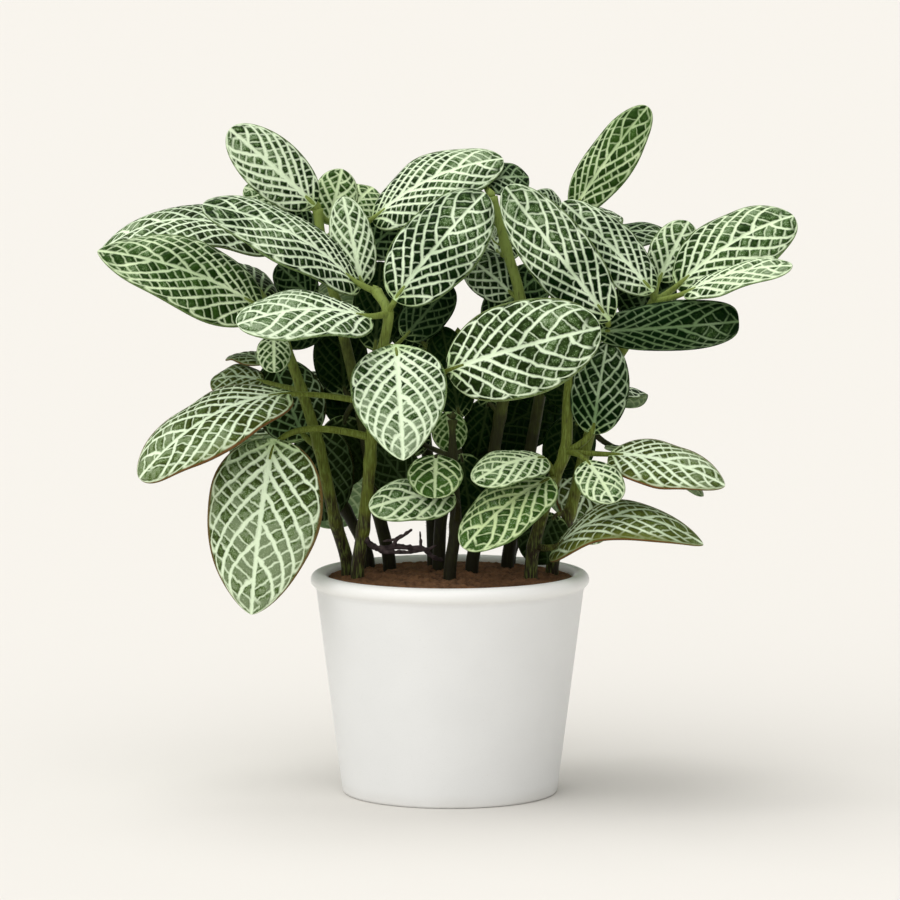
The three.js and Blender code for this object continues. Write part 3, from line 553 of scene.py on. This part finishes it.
def blade_surface(leaf, u, v, lift=0.0):
    """The blade's middle surface, u from base to tip and v from -1 to 1 across, raised by lift.

    Its height is the arch 4u(1 - u), a fold of |v| less a crown of v² in shares of half the width, and a wave
    that grows with v² towards the margins, with a phase of the leaf's own.
    """
    along, up, across, length = blade_directions(leaf)
    half = half_width(leaf, u)
    bow = 4 * u * (1 - u)
    section = half * (BLADE_FOLD * np.abs(v) - BLADE_CROWN * v**2)
    turns = np.sin(2 * np.pi * BLADE_WAVES * u + leaf["base"][0] / MILLIMETRE)
    wave = leaf["width"] * BLADE_WAVE * v**2 * turns * bow
    height = leaf["arch"] * bow + section + wave + lift
    return (leaf["base"] + (length * u)[..., None] * along + height[..., None] * up
            + (half * v)[..., None] * across)


def smooth_run(points, count):
    """A centripetal Catmull-Rom curve through points, read at count places at even distances along it."""
    padded = np.concatenate([[2 * points[0] - points[1]], points, [2 * points[-1] - points[-2]]])
    share = np.linspace(0, 1, 24, endpoint=False)[:, None]
    pieces = []
    for a, b, c, d in zip(padded[:-3], padded[1:-2], padded[2:-1], padded[3:]):
        first, middle, last = (np.linalg.norm(q - p) ** 0.5 for p, q in ((a, b), (b, c), (c, d)))
        leave = ((b - a) / first - (c - a) / (first + middle) + (c - b) / middle) * middle
        arrive = ((c - b) / middle - (d - b) / (middle + last) + (d - c) / last) * middle
        cubic = 2 * b - 2 * c + leave + arrive
        square = -3 * b + 3 * c - 2 * leave - arrive
        pieces.append(b + leave * share + square * share**2 + cubic * share**3)
    fine = np.concatenate(pieces + [points[-1:]])
    travelled = np.concatenate([[0], np.cumsum(np.linalg.norm(np.diff(fine, axis=0), axis=1))])
    even = np.linspace(0, travelled[-1], count)
    return np.stack([np.interp(even, travelled, fine[:, k]) for k in range(3)], -1), even


def tube(path, radius, sides, steady, flat=1.0):
    """Rings round path, square to it: circles r (n cos t + m sin t), squeezed by flat along m.

    n and m are square to each other and to path, and n to steady, a direction that path never runs along.
    """
    ahead = unit(np.gradient(path, axis=0))
    n = unit(np.cross(steady, ahead))
    m = np.cross(ahead, n)
    turn = full_turn(sides)[:, None]
    out = n[:, None] * np.cos(turn) + m[:, None] * (flat * np.sin(turn))
    return path[:, None] + out * radius[:, None, None], out, ahead


def stalk_path(leaf, start):
    """A quadratic curve from the node at start into the root of the blade, arriving along the midrib."""
    root, end = blade_surface(leaf, np.array([0.0, STALK_REACH]), np.zeros(2))
    reach = np.linalg.norm(end - start)
    bend = end - unit(end - root) * 0.45 * reach
    share = np.linspace(0, 1, STALK_RINGS)[:, None]
    path = start * (1 - share) ** 2 + 2 * bend * share * (1 - share) + end * share**2
    return path, np.cross(bend - start, end - bend)


def hairs(surface, out, ahead, count, tall, seed):
    """Fine hairs: three-sided spikes rooted anywhere on a tube's rings, each leaning a little along it."""
    draw = np.random.default_rng(seed)
    row = draw.integers(1, surface.shape[0] - 2, count)
    column = draw.integers(0, surface.shape[1], count)
    slide, slip = draw.random(count)[:, None], draw.random(count)[:, None]
    after = (column + 1) % surface.shape[1]
    here = surface[row, column] * (1 - slide) + surface[row + 1, column] * slide
    beside = surface[row, after] * (1 - slide) + surface[row + 1, after] * slide
    foot = here * (1 - slip) + beside * slip
    lean = unit(out[row, column] + 0.35 * ahead[row] + draw.normal(0, 0.25, (count, 3)))
    side = unit(np.cross(lean, ahead[row]))
    turn = full_turn(3)[:, None]
    round_foot = side[:, None] * np.cos(turn) + np.cross(lean, side)[:, None] * np.sin(turn)
    base = (foot - 0.0001 * lean)[:, None] + HAIR_HALF_WIDTH * round_foot
    top = foot + lean * (tall * draw.uniform(0.5, 1, count))[:, None]
    points = np.concatenate([base, top[:, None]], 1).reshape(-1, 3)
    start = np.arange(count)[:, None] * 4
    sides = ((0, 1, 3), (1, 2, 3), (2, 0, 3), (0, 2, 1))
    faces = np.concatenate([start + side for side in sides])
    return points, np.zeros((0, 4), int), faces


def bud(tip, ahead):
    """The growing tip, carried on from the stem: a closed bud, r = size · sin(pi t)^0.8 · (1.1 - 0.7t)."""
    share = np.linspace(0.04, 0.97, 14)
    path = tip + ahead * (BUD_SIZE * 2.1 * (share - 0.15))[:, None]
    radius = 0.95 * BUD_SIZE * np.sin(np.pi * share) ** 0.8 * (1.15 - 0.75 * share)
    rings, _, _ = tube(path, radius, STALK_SIDES, STEM_STEADY, 0.75)
    return closed_skin(rings, path[0] - ahead * BUD_SIZE * 0.05, path[-1] + ahead * BUD_SIZE * 0.1)


skin = Finish("downy_green_stem")
cloud = skin.noise(130, 3)
streaks = skin.noise(1800, 3, (1, 1, 0.12))
risen = skin.plus(skin.parts(skin.where)["Z"], skin.ramp(cloud, 0.2, 0.8, -0.018, 0.018))
tint = skin.blend(skin.ramp(risen, 0.09, 0.125), STEM_OLIVE, STEM_GREEN)
tint = skin.blend(skin.ramp(risen, 0.14, 0.21), tint, STEM_FRESH)
tint = skin.blend(skin.ramp(risen, 0.112, 0.088, 0, 0.95), tint, STEM_BROWN)
tint = skin.blend(skin.ramp(streaks, 0.45, 0.7, 0, 0.5), tint, STEM_FRESH)
tint = skin.blend(skin.ramp(streaks, 0.42, 0.25, 0, 0.6), tint, STEM_BROWN)
inner = skin.node("Attribute", {}, attribute_name="inner_stem").outputs["Fac"]
tint = skin.blend(skin.times(inner, skin.ramp(risen, 0.19, 0.12, 0, 0.9)), tint, STEM_SHADED)
rough = skin.ramp(streaks, 0.3, 0.7, 0.45, 0.65)
bumps = skin.bump(streaks, 0.0002, 0.6)
skin.set(Base_Color=tint, Roughness=rough, Normal=bumps, Specular_IOR_Level=0.15)

for number, (stem_name, stem) in enumerate(LEAFY_STEMS.items()):
    feet = np.array([(*stem["foot"], height) for height in STEM_FOOT_HEIGHTS])
    path, travelled = smooth_run(np.concatenate([feet, stem["nodes"]]), STEM_RINGS)
    radius = np.interp(travelled, [0, travelled[-1]], [STEM_FOOT_RADIUS, STEM_TIP_RADIUS])
    nearest = np.linalg.norm(path[:, None] - stem["nodes"][None], axis=2).min(1)
    radius = radius + NODE_SWELLING * np.exp(-((nearest / NODE_REACH) ** 2))
    rings, out, ahead = tube(path, radius, STEM_SIDES, STEM_STEADY)
    skins = [closed_skin(rings, path[0], path[-1] + ahead[-1] * 0.0004)]
    shown = slice(BURIED_RINGS, None)
    skins.append(hairs(rings[shown], out[shown], ahead[shown], STEM_HAIRS, STEM_HAIR_LENGTH, 100 + number))
    skins.append(bud(path[-1], ahead[-1]))
    for order, grown in enumerate(stem["leaves"]):
        stalk, square = stalk_path(grown, stem["nodes"][grown["node"]])
        steady = square if np.linalg.norm(square) > 1e-7 else blade_directions(grown)[2]
        small = min(1.0, grown["width"] / THIN_STALK_LEAF)
        share = np.linspace(0, 1, STALK_RINGS)
        radius = np.interp(share, *STALK_THICKNESSES) * STALK_FOOT_RADIUS * small
        rings, out, ahead = tube(stalk, radius, STALK_SIDES, steady, STALK_FLAT)
        skins.append(closed_skin(rings, stalk[0] - ahead[0] * 0.0003, stalk[-1] + ahead[-1] * 0.0002))
        seed = 1000 + 20 * number + order
        skins.append(hairs(rings, out, ahead, STALK_HAIRS, STALK_HAIR_LENGTH, seed))
    inner = np.full((sum(len(one[0]) for one in skins), 3), stem_name not in OUTER_STEMS)
    piece = make_piece("stem_and_stalks_" + stem_name, skin, skins, {"inner_stem": inner})
    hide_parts("leafy_stem_" + stem_name)
    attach(piece, "root")

# The dry rootlets.
# Thin woody rootlets that the front left stem put out above the soil, and that dried in the air.
# They fork, and are dark purplish grey, rough and a little knotty.
ROOTLETS = (
    (((-31, -8, 93.5), (-28.2, -9.5, 90.5), (-25, -10.5, 89.3), (-19, -10.8, 90), (-13.6, -10.8, 89.6),
      (-9.7, -10.6, 89.3), (-6.1, -10, 86.2), (-2.8, -9.5, 85)), 1.2, 0.75),
    (((-26.2, -10, 89.2), (-23.8, -11.2, 88.3), (-19, -11.8, 88.2), (-13.8, -11.6, 88.2),
      (-10, -10.8, 88.8)), 0.9, 0.6),
    (((-20, -10.8, 89.9), (-19.1, -11, 92.6), (-16.5, -11.3, 94.2), (-13.7, -11.6, 96.2)), 0.9, 0.5),
    (((-18.9, -11, 92.8), (-21.2, -11.4, 92.4), (-23.8, -11.8, 92.1)), 0.65, 0.3),
    (((-10.4, -10.7, 89.3), (-10.5, -11.2, 92.5), (-10.7, -11.6, 95.5)), 0.7, 0.25),
    (((-10, -10.7, 89.2), (-7.5, -11.2, 89.3), (-5, -11.6, 90.5)), 0.9, 0.3),
)
ROOTLET_KNOTS, ROOTLET_PITCHES = 0.22, (0.0021, 0.0034)
ROOTLET_WANDER = 0.0002 * np.array((0.3, 1.0, 0.6))
ROOTLET_RINGS, ROOTLET_SIDES = 40, 12
ROOTLET_DARK = (0.022, 0.014, 0.015, 1)
ROOTLET_GREY = (0.085, 0.062, 0.063, 1)


def rootlet(points, thick, thin, seed):
    """One rootlet, in millimetres: a tube along its curve that tapers in radius from thick to thin.

    Two sine waves of unlike pitch, w in all, make knots r (1 + 0.22w) and let it wander off its curve.
    """
    draw = np.random.default_rng(seed)
    thick, thin = metres((thick, thin))
    path, travelled = smooth_run(metres(points), ROOTLET_RINGS)
    share = travelled / travelled[-1]
    waves = sum(np.sin(2 * np.pi * (travelled / pitch + draw.random())) for pitch in ROOTLET_PITCHES) / 2
    radius = (thick + (thin - thick) * share) * (1 + ROOTLET_KNOTS * waves)
    path = path + ROOTLET_WANDER * (waves * np.sin(np.pi * share))[:, None]
    rings, _, ahead = tube(path, radius, ROOTLET_SIDES, (0, 1, 0))
    return closed_skin(rings, path[0] - ahead[0] * thick * 0.3, path[-1] + ahead[-1] * thin * 0.8)


bark = Finish("dry_rootlet_bark")
streaks = bark.noise(2400, 3, (0.35, 1, 1))
patches = bark.noise(420, 3)
tint = bark.blend(bark.ramp(patches, 0.35, 0.7), ROOTLET_DARK, ROOTLET_GREY)
tint = bark.blend(bark.ramp(streaks, 0.5, 0.75, 0, 0.6), tint, ROOTLET_GREY)
rough = bark.ramp(streaks, 0.3, 0.7, 0.7, 0.9)
bumps = bark.bump(bark.plus(streaks, patches), 0.0003, 0.8)
bark.set(Base_Color=tint, Roughness=rough, Normal=bumps, Specular_IOR_Level=0.2)
rootlets = make_piece("dry_rootlets", bark, [rootlet(*row, 70 + k) for k, row in enumerate(ROOTLETS)])
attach(rootlets, "root")

# The leaf blades.
# Thin soft oval leaves, deep green between a raised net of cream veins, each grown on its own stalk.
# Side veins leave the midrib, arc forward and join in loops inside the margin, and rungs tie them together.
BLADE_THICKNESS = 0.00055
MARGIN_THICKNESS = 0.0003
RIB_HEIGHT = 0.0006
RIB_WIDTH = 0.0009
GROOVE_SHARE = 0.35
QUILTING = 0.00032
RIPPLE_HEIGHT, RIPPLE_COUNTS = 0.012, (1.0, 2.3, 3.7)
BLADE_STEPS_ALONG, BLADE_STEPS_ACROSS = 60, 30
FINE_BLADE, FEWEST_STEPS = 0.045, 0.45
BLADE_LENGTHS = (0.015, 0.06)
VEIN_COUNTS = (5.2, 8.2)
RUNG_GAPS = (0.0028, 0.0036)
RUNG_FORWARD = 0.79
VEIN_CROWDING, VEIN_SWEEP = 0.9, 0.94
FIRST_VEIN = -0.06
SIDE_LEAD = 0.42


def vein_ends(t):
    """Where side vein t, from 0 at the base to 1 at the tip, leaves the midrib and would meet the margin.

    They leave at t|t|^0.9, close together near the base, and sweep forward to 1 - 0.94 (1 - t)².
    """
    return t * np.abs(t) ** VEIN_CROWDING, 1 - VEIN_SWEEP * (1 - t) ** 2


def vein_through(u, q):
    """The side vein t that runs through (u, q), found by halving.

    It runs from p to e along u = p + (e - p)(0.8q + 0.2q²), with q from 0 at the midrib to 1 at the margin.
    """
    s = 0.8 * q + 0.2 * q**2
    low, high = np.full_like(u, FIRST_VEIN), np.ones_like(u)
    for _ in range(26):
        middle = (low + high) / 2
        p, e = vein_ends(middle)
        short = p + (e - p) * s < u
        low, high = np.where(short, middle, low), np.where(short, high, middle)
    return (low + high) / 2


def vein_counts(leaf, x, y):
    """The number of the side vein and of the rung through a blade's point, x along and y across it.

    Rungs count up along each side vein, and on from one vein's start to the next, so they cross veins
    squarely. A longer blade has more side veins, further apart, and wider gaps between its rungs.
    """
    length = blade_directions(leaf)[3]
    veins = np.floor(np.interp(length, BLADE_LENGTHS, VEIN_COUNTS) * leaf["closeness"] ** 0.3) + 0.4
    rung_gap = np.interp(length, BLADE_LENGTHS, RUNG_GAPS) / leaf["closeness"]
    u = np.clip(x / length, 0, 1)
    q = np.clip(y / np.maximum(half_width(leaf, u), 1e-5), 0, 1)
    t = vein_through(u, q)
    start = length * vein_ends(t)[0]
    return np.array([veins * t, (np.hypot(x - start, y) + RUNG_FORWARD * start) / rung_gap])


def spacing(leaf, x, y):
    """How far apart neighbouring side veins, and rungs, lie at a point: 1 over the slope of the counts."""
    step = 0.0002
    nearer = np.maximum(y - step, 0)
    along = (vein_counts(leaf, x + step, y) - vein_counts(leaf, x - step, y)) / (2 * step)
    across = (vein_counts(leaf, x, y + step) - vein_counts(leaf, x, nearer)) / (y + step - nearer)
    return 1 / np.maximum(np.hypot(along, across), 1e-3)


def blade_skin(leaf, seed):
    """One blade as a closed skin of rings: over the upper face from margin to margin and back on the lower.

    The faces stand half a thickness from the middle surface, thinner at the margin. The lower one bulges
    under the midrib and the upper one sinks over it, and both swell between side veins by sin²(pi · count).
    With the skin come its traits, sizes in millimetres: the number of each point's vein and rung, their gaps
    and the way to the midrib, the place u, q and face, and the leaf's tone, age and half width there.
    """
    draw = np.random.default_rng(seed)
    long = np.linalg.norm(leaf["tip"] - leaf["base"])
    share = np.clip(long / FINE_BLADE, FEWEST_STEPS, 1)
    steps_along = int(BLADE_STEPS_ALONG * share)
    steps_across = 2 * int(BLADE_STEPS_ACROSS * share / 2)
    u = ((1 - np.cos(np.pi * np.arange(1, steps_along) / steps_along)) / 2)[:, None]
    s = np.linspace(-1, 1, steps_across + 1)
    v = np.sign(s) * np.abs(s) ** 1.15
    u, v, half = np.broadcast_arrays(u, v[None], half_width(leaf, u))
    q = np.abs(v)
    x, y = long * u, q * half
    count, rung = vein_counts(leaf, x, y)
    vein_gap, rung_gap = spacing(leaf, x, y)
    ripples = 0
    for turns in RIPPLE_COUNTS:
        height, slant, start = draw.uniform(0.4, 1), draw.uniform(0, 1), draw.uniform(0, 6.3)
        ripples = ripples + height * np.sin(2 * np.pi * (turns * u + slant * v) + start) / len(RIPPLE_COUNTS)
    swell = np.sin(np.pi * (count + SIDE_LEAD * (v > 0))) ** 2 * np.clip(vein_gap / 0.005, 0, 1)
    calm = np.clip((1 - q) / 0.15, 0, 1) * np.clip(q / 0.12, 0, 1) * np.clip(half / 0.006, 0, 1)
    ripples = RIPPLE_HEIGHT * leaf["width"] * ripples * q**2 * 4 * u * (1 - u)
    relief = QUILTING * (swell - 0.5) * calm + ripples
    thick = MARGIN_THICKNESS + (BLADE_THICKNESS - MARGIN_THICKNESS) * (1 - q**4)
    rib = RIB_HEIGHT * (1 - u) ** 0.7 * np.exp(-((y / RIB_WIDTH) ** 2)) * np.clip(u / 0.01, 0, 1)
    upper = blade_surface(leaf, u, v, relief + thick / 2 - GROOVE_SHARE * rib)
    lower = blade_surface(leaf, u, v, relief - thick / 2 - rib)
    rings = np.concatenate([upper, lower[:, ::-1]], 1)
    skin = closed_skin(rings, *blade_surface(leaf, np.array([0.0, 1.0]), np.zeros(2)))

    def around(over, at_base, at_tip, under=None):
        """One number for each point of the skin, the same over and under the blade unless under is given."""
        under = over if under is None else under
        faces = [np.broadcast_to(over, u.shape), np.broadcast_to(under, u.shape)[:, ::-1]]
        return np.append(np.concatenate(faces, 1), (at_base, at_tip))

    along, half = around(u, 0, 1), around(half / MILLIMETRE, 0.1, 0.1)
    columns = {
        "vein_net": (around(count, 0, count[-1, 0]), around(rung, 0, rung[-1, 0]), np.full_like(half, seed)),
        "vein_gaps": (around(vein_gap / MILLIMETRE, 1, 1), around(rung_gap / MILLIMETRE, 1, 1),
                      around(y / MILLIMETRE, 0, 0)),
        "blade_spot": (along, around(q, 0, 0), around(1.0, 0.5, 0.5, under=0.0)),
        "blade_kind": (np.full_like(half, leaf["tone"]), np.full_like(half, leaf["age"]), half),
    }
    traits = {name: np.stack(column, -1) for name, column in columns.items()}
    return skin, traits, np.stack([along, around(0.5 + 0.5 * v, 0.5, 0.5)], -1)


LAMINA_DARK = (0.0008, 0.0105, 0.0003, 1)
LAMINA_PALE = (0.11, 0.215, 0.056, 1)
LAMINA_PAINTED_SHEEN = (0.215, 0.29, 0.168, 1)
VEIN_PAINTED_SHADE = (0.02, 0.036, 0.009, 1)
VEIN_DULL = (0.18, 0.285, 0.13, 1)
VEIN_CREAM = (0.8, 0.945, 0.68, 1)
VEIN_GREEN = (0.45, 0.62, 0.25, 1)
UNDERSIDE = (0.12, 0.19, 0.085, 1)
UNDERSIDE_VEIN = (0.35, 0.45, 0.24, 1)
OLD_OLIVE = (0.12, 0.145, 0.022, 1)
YOUNG_GREEN = (0.052, 0.13, 0.016, 1)
YOUNG_VEIN = (0.6, 0.75, 0.35, 1)
OLD_BROWN = (0.15, 0.06, 0.02, 1)
FRESH_EDGE = (0.2, 0.29, 0.1, 1)

net = Finish("netted_leaf")


def trait(name):
    """The three numbers of a trait that the blades carry."""
    return net.parts(net.node("Attribute", {}, attribute_name=name).outputs["Vector"])


count, rung, seed = trait("vein_net")
vein_gap, rung_gap, off_midrib = trait("vein_gaps")
u, q, upper = trait("blade_spot")
tone, age, half = trait("blade_kind")
across = net.parts(net.node("UVMap", {}, uv_map="blade").outputs["UV"])["Y"]
side = net.math("GREATER_THAN", across, 0.5)

wander = net.node("TexNoise", {"Vector": net.where, "Scale": 190, "Detail": 2.5, "Roughness": 0.6})
strays = net.node("SeparateColor", {"Color": wander.outputs["Color"]}).outputs
vein = net.math("MULTIPLY_ADD", side, SIDE_LEAD, count)
stray = net.times(net.minus(strays["Red"], 0.5), net.ramp(u, 0.97, 0.8, 0, 0.38))
vein = net.plus(stray, vein)
between = net.math("FRACT", vein)
strip = net.math("FLOOR", vein)
to_vein = net.times(net.math("PINGPONG", vein, 0.5), vein_gap)


def cells(number, unevenness, output, feature="DISTANCE_TO_EDGE"):
    """Cells of uneven length along a count, whose edges are the cross veins."""
    inputs = {"W": number, "Scale": 1, "Randomness": unevenness}
    return net.node("TexVoronoi", inputs, voronoi_dimensions="1D", feature=feature).outputs[output]


own_number = net.math("MULTIPLY_ADD", net.math("ROUND", seed), 64, side)
own_number = net.math("MULTIPLY_ADD", strip, 2, own_number)
own_start = net.node("TexWhiteNoise", {"W": own_number}, noise_dimensions="1D").outputs["Value"]
own_start = net.times(own_start, 97)
ladder = net.math("MULTIPLY_ADD", net.minus(strays["Green"], 0.5), 0.72, rung)
ladder = net.plus(ladder, own_start)
to_rung = net.times(cells(ladder, 0.7, "Distance"), rung_gap)
cell_inks = cells(ladder, 0.7, "Color", "F1")

bulge = net.times(between, net.minus(1, between), 4)
loop_at = net.math("MULTIPLY_ADD", bulge, 0.07, net.math("MULTIPLY_ADD", strays["Blue"], 0.05, 0.85))
past_loop = net.minus(q, loop_at)
to_loop = net.times(net.math("ABSOLUTE", past_loop), half)
outside = net.ramp(past_loop, 0, 0.02)
twigs = cells(net.math("MULTIPLY_ADD", vein, 2.7, own_start), 0.5, "Distance")
to_twig = net.times(twigs, net.times(vein_gap, 0.37))


def line(distance, half_wide, soft=0.33):
    """1 on a vein and 0 off it, with a soft edge."""
    return net.minus(1, net.ramp(distance, net.minus(half_wide, soft), net.plus(half_wide, soft)))


heavy = net.ramp(tone, 0.25, 1.2, 0.72, 1.36, smooth=False)
mottle = net.noise(520, 3)
heavy = net.times(heavy, net.ramp(mottle, 0.3, 0.7, 0.76, 1.24))
narrowing = net.ramp(q, 0, 0.85, 0.62, 0.38, smooth=False)
side_half = net.least(narrowing, net.times(net.least(vein_gap, net.times(half, 0.33)), 0.18))
rung_half = net.least(0.23, net.times(rung_gap, 0.13))
middle_half = net.ramp(u, 0, 0.95, 0.92, 0.5, smooth=False)
side_lines = net.times(line(to_vein, net.times(side_half, heavy)), net.minus(1, outside))
side_lines = net.times(side_lines, net.ramp(u, 0.955, 0.89))
rung_lines = net.times(line(to_rung, net.times(rung_half, heavy)), net.ramp(past_loop, 0, 0.02, 0.82, 0))
loop_lines = line(to_loop, net.times(heavy, 0.26))
twig_lines = net.times(line(to_twig, 0.12, 0.1), outside, net.ramp(past_loop, 0.12, 0.05, 0, 0.3))
middle_line = line(off_midrib, net.times(middle_half, heavy))
veins = net.most(middle_line, side_lines, rung_lines, loop_lines, twig_lines)

cell = net.node("SeparateColor", {"Color": cell_inks}).outputs["Red"]
pillow = net.ramp(net.least(to_vein, to_rung, to_loop, off_midrib), 0.1, 1.5)
cloud = net.noise(60, 2)
grain = net.noise(2200, 2)
fresh = net.plus(
    tone,
    net.ramp(cell, 0, 1, -0.34, 0.26, smooth=False),
    net.ramp(cloud, 0.3, 0.7, -0.26, 0.26),
    # Painted shade and light: the lamina darker towards the blade's base, shaded by the leaves above, and
    # lighter towards its tip.
    net.ramp(u, 0.05, 0.8, -0.45, 0.24),
    net.ramp(mottle, 0.3, 0.7, -0.26, 0.26),
    net.ramp(grain, 0.3, 0.7, -0.12, 0.12),
    # Painted light and shade: the lamina lighter in the middle of each cell, where it bulges up to the light,
    # and darker in the creases along the veins.
    net.times(net.minus(pillow, 0.6), 0.34),
)
pale = net.math("POWER", net.ramp(fresh, -0.15, 1.25, smooth=False), 2.8)
lamina = net.blend(pale, LAMINA_DARK, LAMINA_PALE)
# Painted sheen: where the lamina is palest it turns a pale grey green, as of soft light glancing off it.
lamina = net.blend(net.ramp(fresh, 0.85, 1.45), lamina, LAMINA_PAINTED_SHEEN)
flecks = net.times(net.ramp(grain, 0.5, 0.72), net.ramp(fresh, 0.5, 1.25, 0, 0.28))
creaminess = net.ramp(net.plus(tone, net.ramp(cloud, 0.3, 0.7, -0.24, 0.24)), -0.05, 0.8)
cream = net.blend(creaminess, VEIN_DULL, VEIN_CREAM)
# Painted shade: on leaves of tone below 0, in the shade deep in the bush or under other leaves, the veins
# darken nearly to the lamina.
cream = net.blend(net.ramp(tone, 0, -0.2), cream, VEIN_PAINTED_SHADE)
young = net.ramp(age, 0, -1, smooth=False)
cream = net.blend(net.times(young, net.ramp(cloud, 0.3, 0.7, 0.55, 0.95)), cream, YOUNG_VEIN)
lamina = net.blend(net.times(young, net.ramp(cell, 0, 1, 0.35, 0.95)), lamina, YOUNG_GREEN)
cream = net.blend(net.ramp(u, 0.16, 0, 0, 0.75), cream, VEIN_GREEN)
old = net.times(age, net.ramp(net.plus(q, net.ramp(cloud, 0.3, 0.7, -0.1, 0.1)), 0.62, 1))
lamina = net.blend(flecks, lamina, VEIN_CREAM)
lamina = net.blend(net.ramp(age, 0, 1, 0, 0.6, smooth=False), lamina, OLD_OLIVE)
top = net.blend(veins, lamina, cream)
top = net.blend(net.ramp(old, 0.1, 0.9, 0, 0.85), top, OLD_OLIVE)
fresh_edge = net.times(net.ramp(q, 0.95, 0.985), net.ramp(tone, 0, 0.7, 0, 0.6))
old_edge = net.times(net.ramp(q, 0.94, 0.975), net.ramp(age, 0, 0.5, 0, 0.95))
top = net.blend(old_edge, net.blend(fresh_edge, top, FRESH_EDGE), OLD_BROWN)
bottom = net.blend(net.times(veins, 0.75), UNDERSIDE, UNDERSIDE_VEIN)
tint = net.blend(upper, bottom, top)

height = net.times(pillow, net.ramp(upper, 0, 1, -0.6, 1, smooth=False))
bumps = net.bump(height, 0.00045, 1)
bumps = net.bump(grain, 0.00005, 0.7, Normal=bumps)
rough = net.plus(net.ramp(veins, 0, 1, 0.42, 0.6), net.ramp(grain, 0.3, 0.7, -0.05, 0.05))
net.set(Base_Color=tint, Roughness=rough, Normal=bumps, Specular_IOR_Level=0.03)

for number, (stem_name, stem) in enumerate(LEAFY_STEMS.items()):
    made = [blade_skin(grown, 20 * number + order) for order, grown in enumerate(stem["leaves"])]
    traits = {key: np.concatenate([one[1][key] for one in made]) for key in made[0][1]}
    uv = np.concatenate([one[2] for one in made])
    piece = make_piece("leaves_" + stem_name, net, [one[0] for one in made], traits, uv)
    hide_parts("leafy_stem_" + stem_name)
    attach(piece, "root")

# The room.
# A plain cream floor that runs far back, so that it fills the picture, and an even cream sky.
FLOOR_REACH = 40.0
FLOOR_CREAM = (0.748, 0.73, 0.698, 1)
FLOOR_SHADE = (0.725, 0.708, 0.676, 1)
SKY_CREAM = (1.0, 0.985, 0.955, 1)
SKY_STRENGTH = 0.49

corners = np.array([(-1, -1), (1, -1), (1, 1), (-1, 1)]) * FLOOR_REACH
floor_mesh = bpy.data.meshes.new("cream_floor")
floor_mesh.from_pydata([(x, y, 0) for x, y in corners], [], [(0, 1, 2, 3)])
floor_piece = add_object("cream_floor", floor_mesh)
paper = Finish("cream_paper")
mottle = paper.noise(30, 2)
tint = paper.blend(paper.ramp(mottle, 0.3, 0.7, 0, 0.03), FLOOR_CREAM, FLOOR_SHADE)
paper.set(Base_Color=tint, Roughness=1, Specular_IOR_Level=0)
floor_mesh.materials.append(paper.material)

world = bpy.data.worlds.new("cream_sky")
world.use_nodes = True
sky = world.node_tree.nodes["Background"].inputs
sky["Color"].default_value = SKY_CREAM
sky["Strength"].default_value = SKY_STRENGTH
bpy.context.scene.world = world

# The lights.
# Two broad soft lights, as of a large window at the front left and of a lamp behind and above.
LAMP_WHITE = (1, 0.99, 0.97)
LAMPS = (
    ("window_light", (-0.4, -0.54, 0.741), 84, 1.7),
    ("back_light", (-0.22, 0.32, 0.922), 40, 1.28),
)
for name, place, spread, strength in LAMPS:
    lamp = bpy.data.lights.new(name, "SUN")
    lamp.energy, lamp.angle, lamp.color = strength, float(np.radians(spread)), LAMP_WHITE
    holder = add_object(name, lamp)
    holder.location = place
    holder.rotation_euler = Vector(place).to_track_quat("Z", "Y").to_euler()

# The camera.
# It looks at the front from a little above, from two metres away through a long lens.
CAMERA_DISTANCE = 2
CAMERA_RISE = 6.3
AIM_HEIGHT = 0.1235
SENSOR = 36
PICTURE_PIXELS = 900
PIXEL_SIZE = 0.000358
rise = np.radians(CAMERA_RISE)
camera = bpy.data.cameras.new("camera")
camera.sensor_width = SENSOR
camera.lens = SENSOR * CAMERA_DISTANCE / (PICTURE_PIXELS * PIXEL_SIZE)
camera_holder = add_object("camera", camera)
camera_height = AIM_HEIGHT + CAMERA_DISTANCE * float(np.sin(rise))
camera_holder.location = (0, -CAMERA_DISTANCE * float(np.cos(rise)), camera_height)
camera_holder.rotation_euler = (float(np.pi / 2 - rise), 0, 0)
bpy.context.scene.camera = camera_holder
bpy.context.scene.view_settings.view_transform = "Standard"
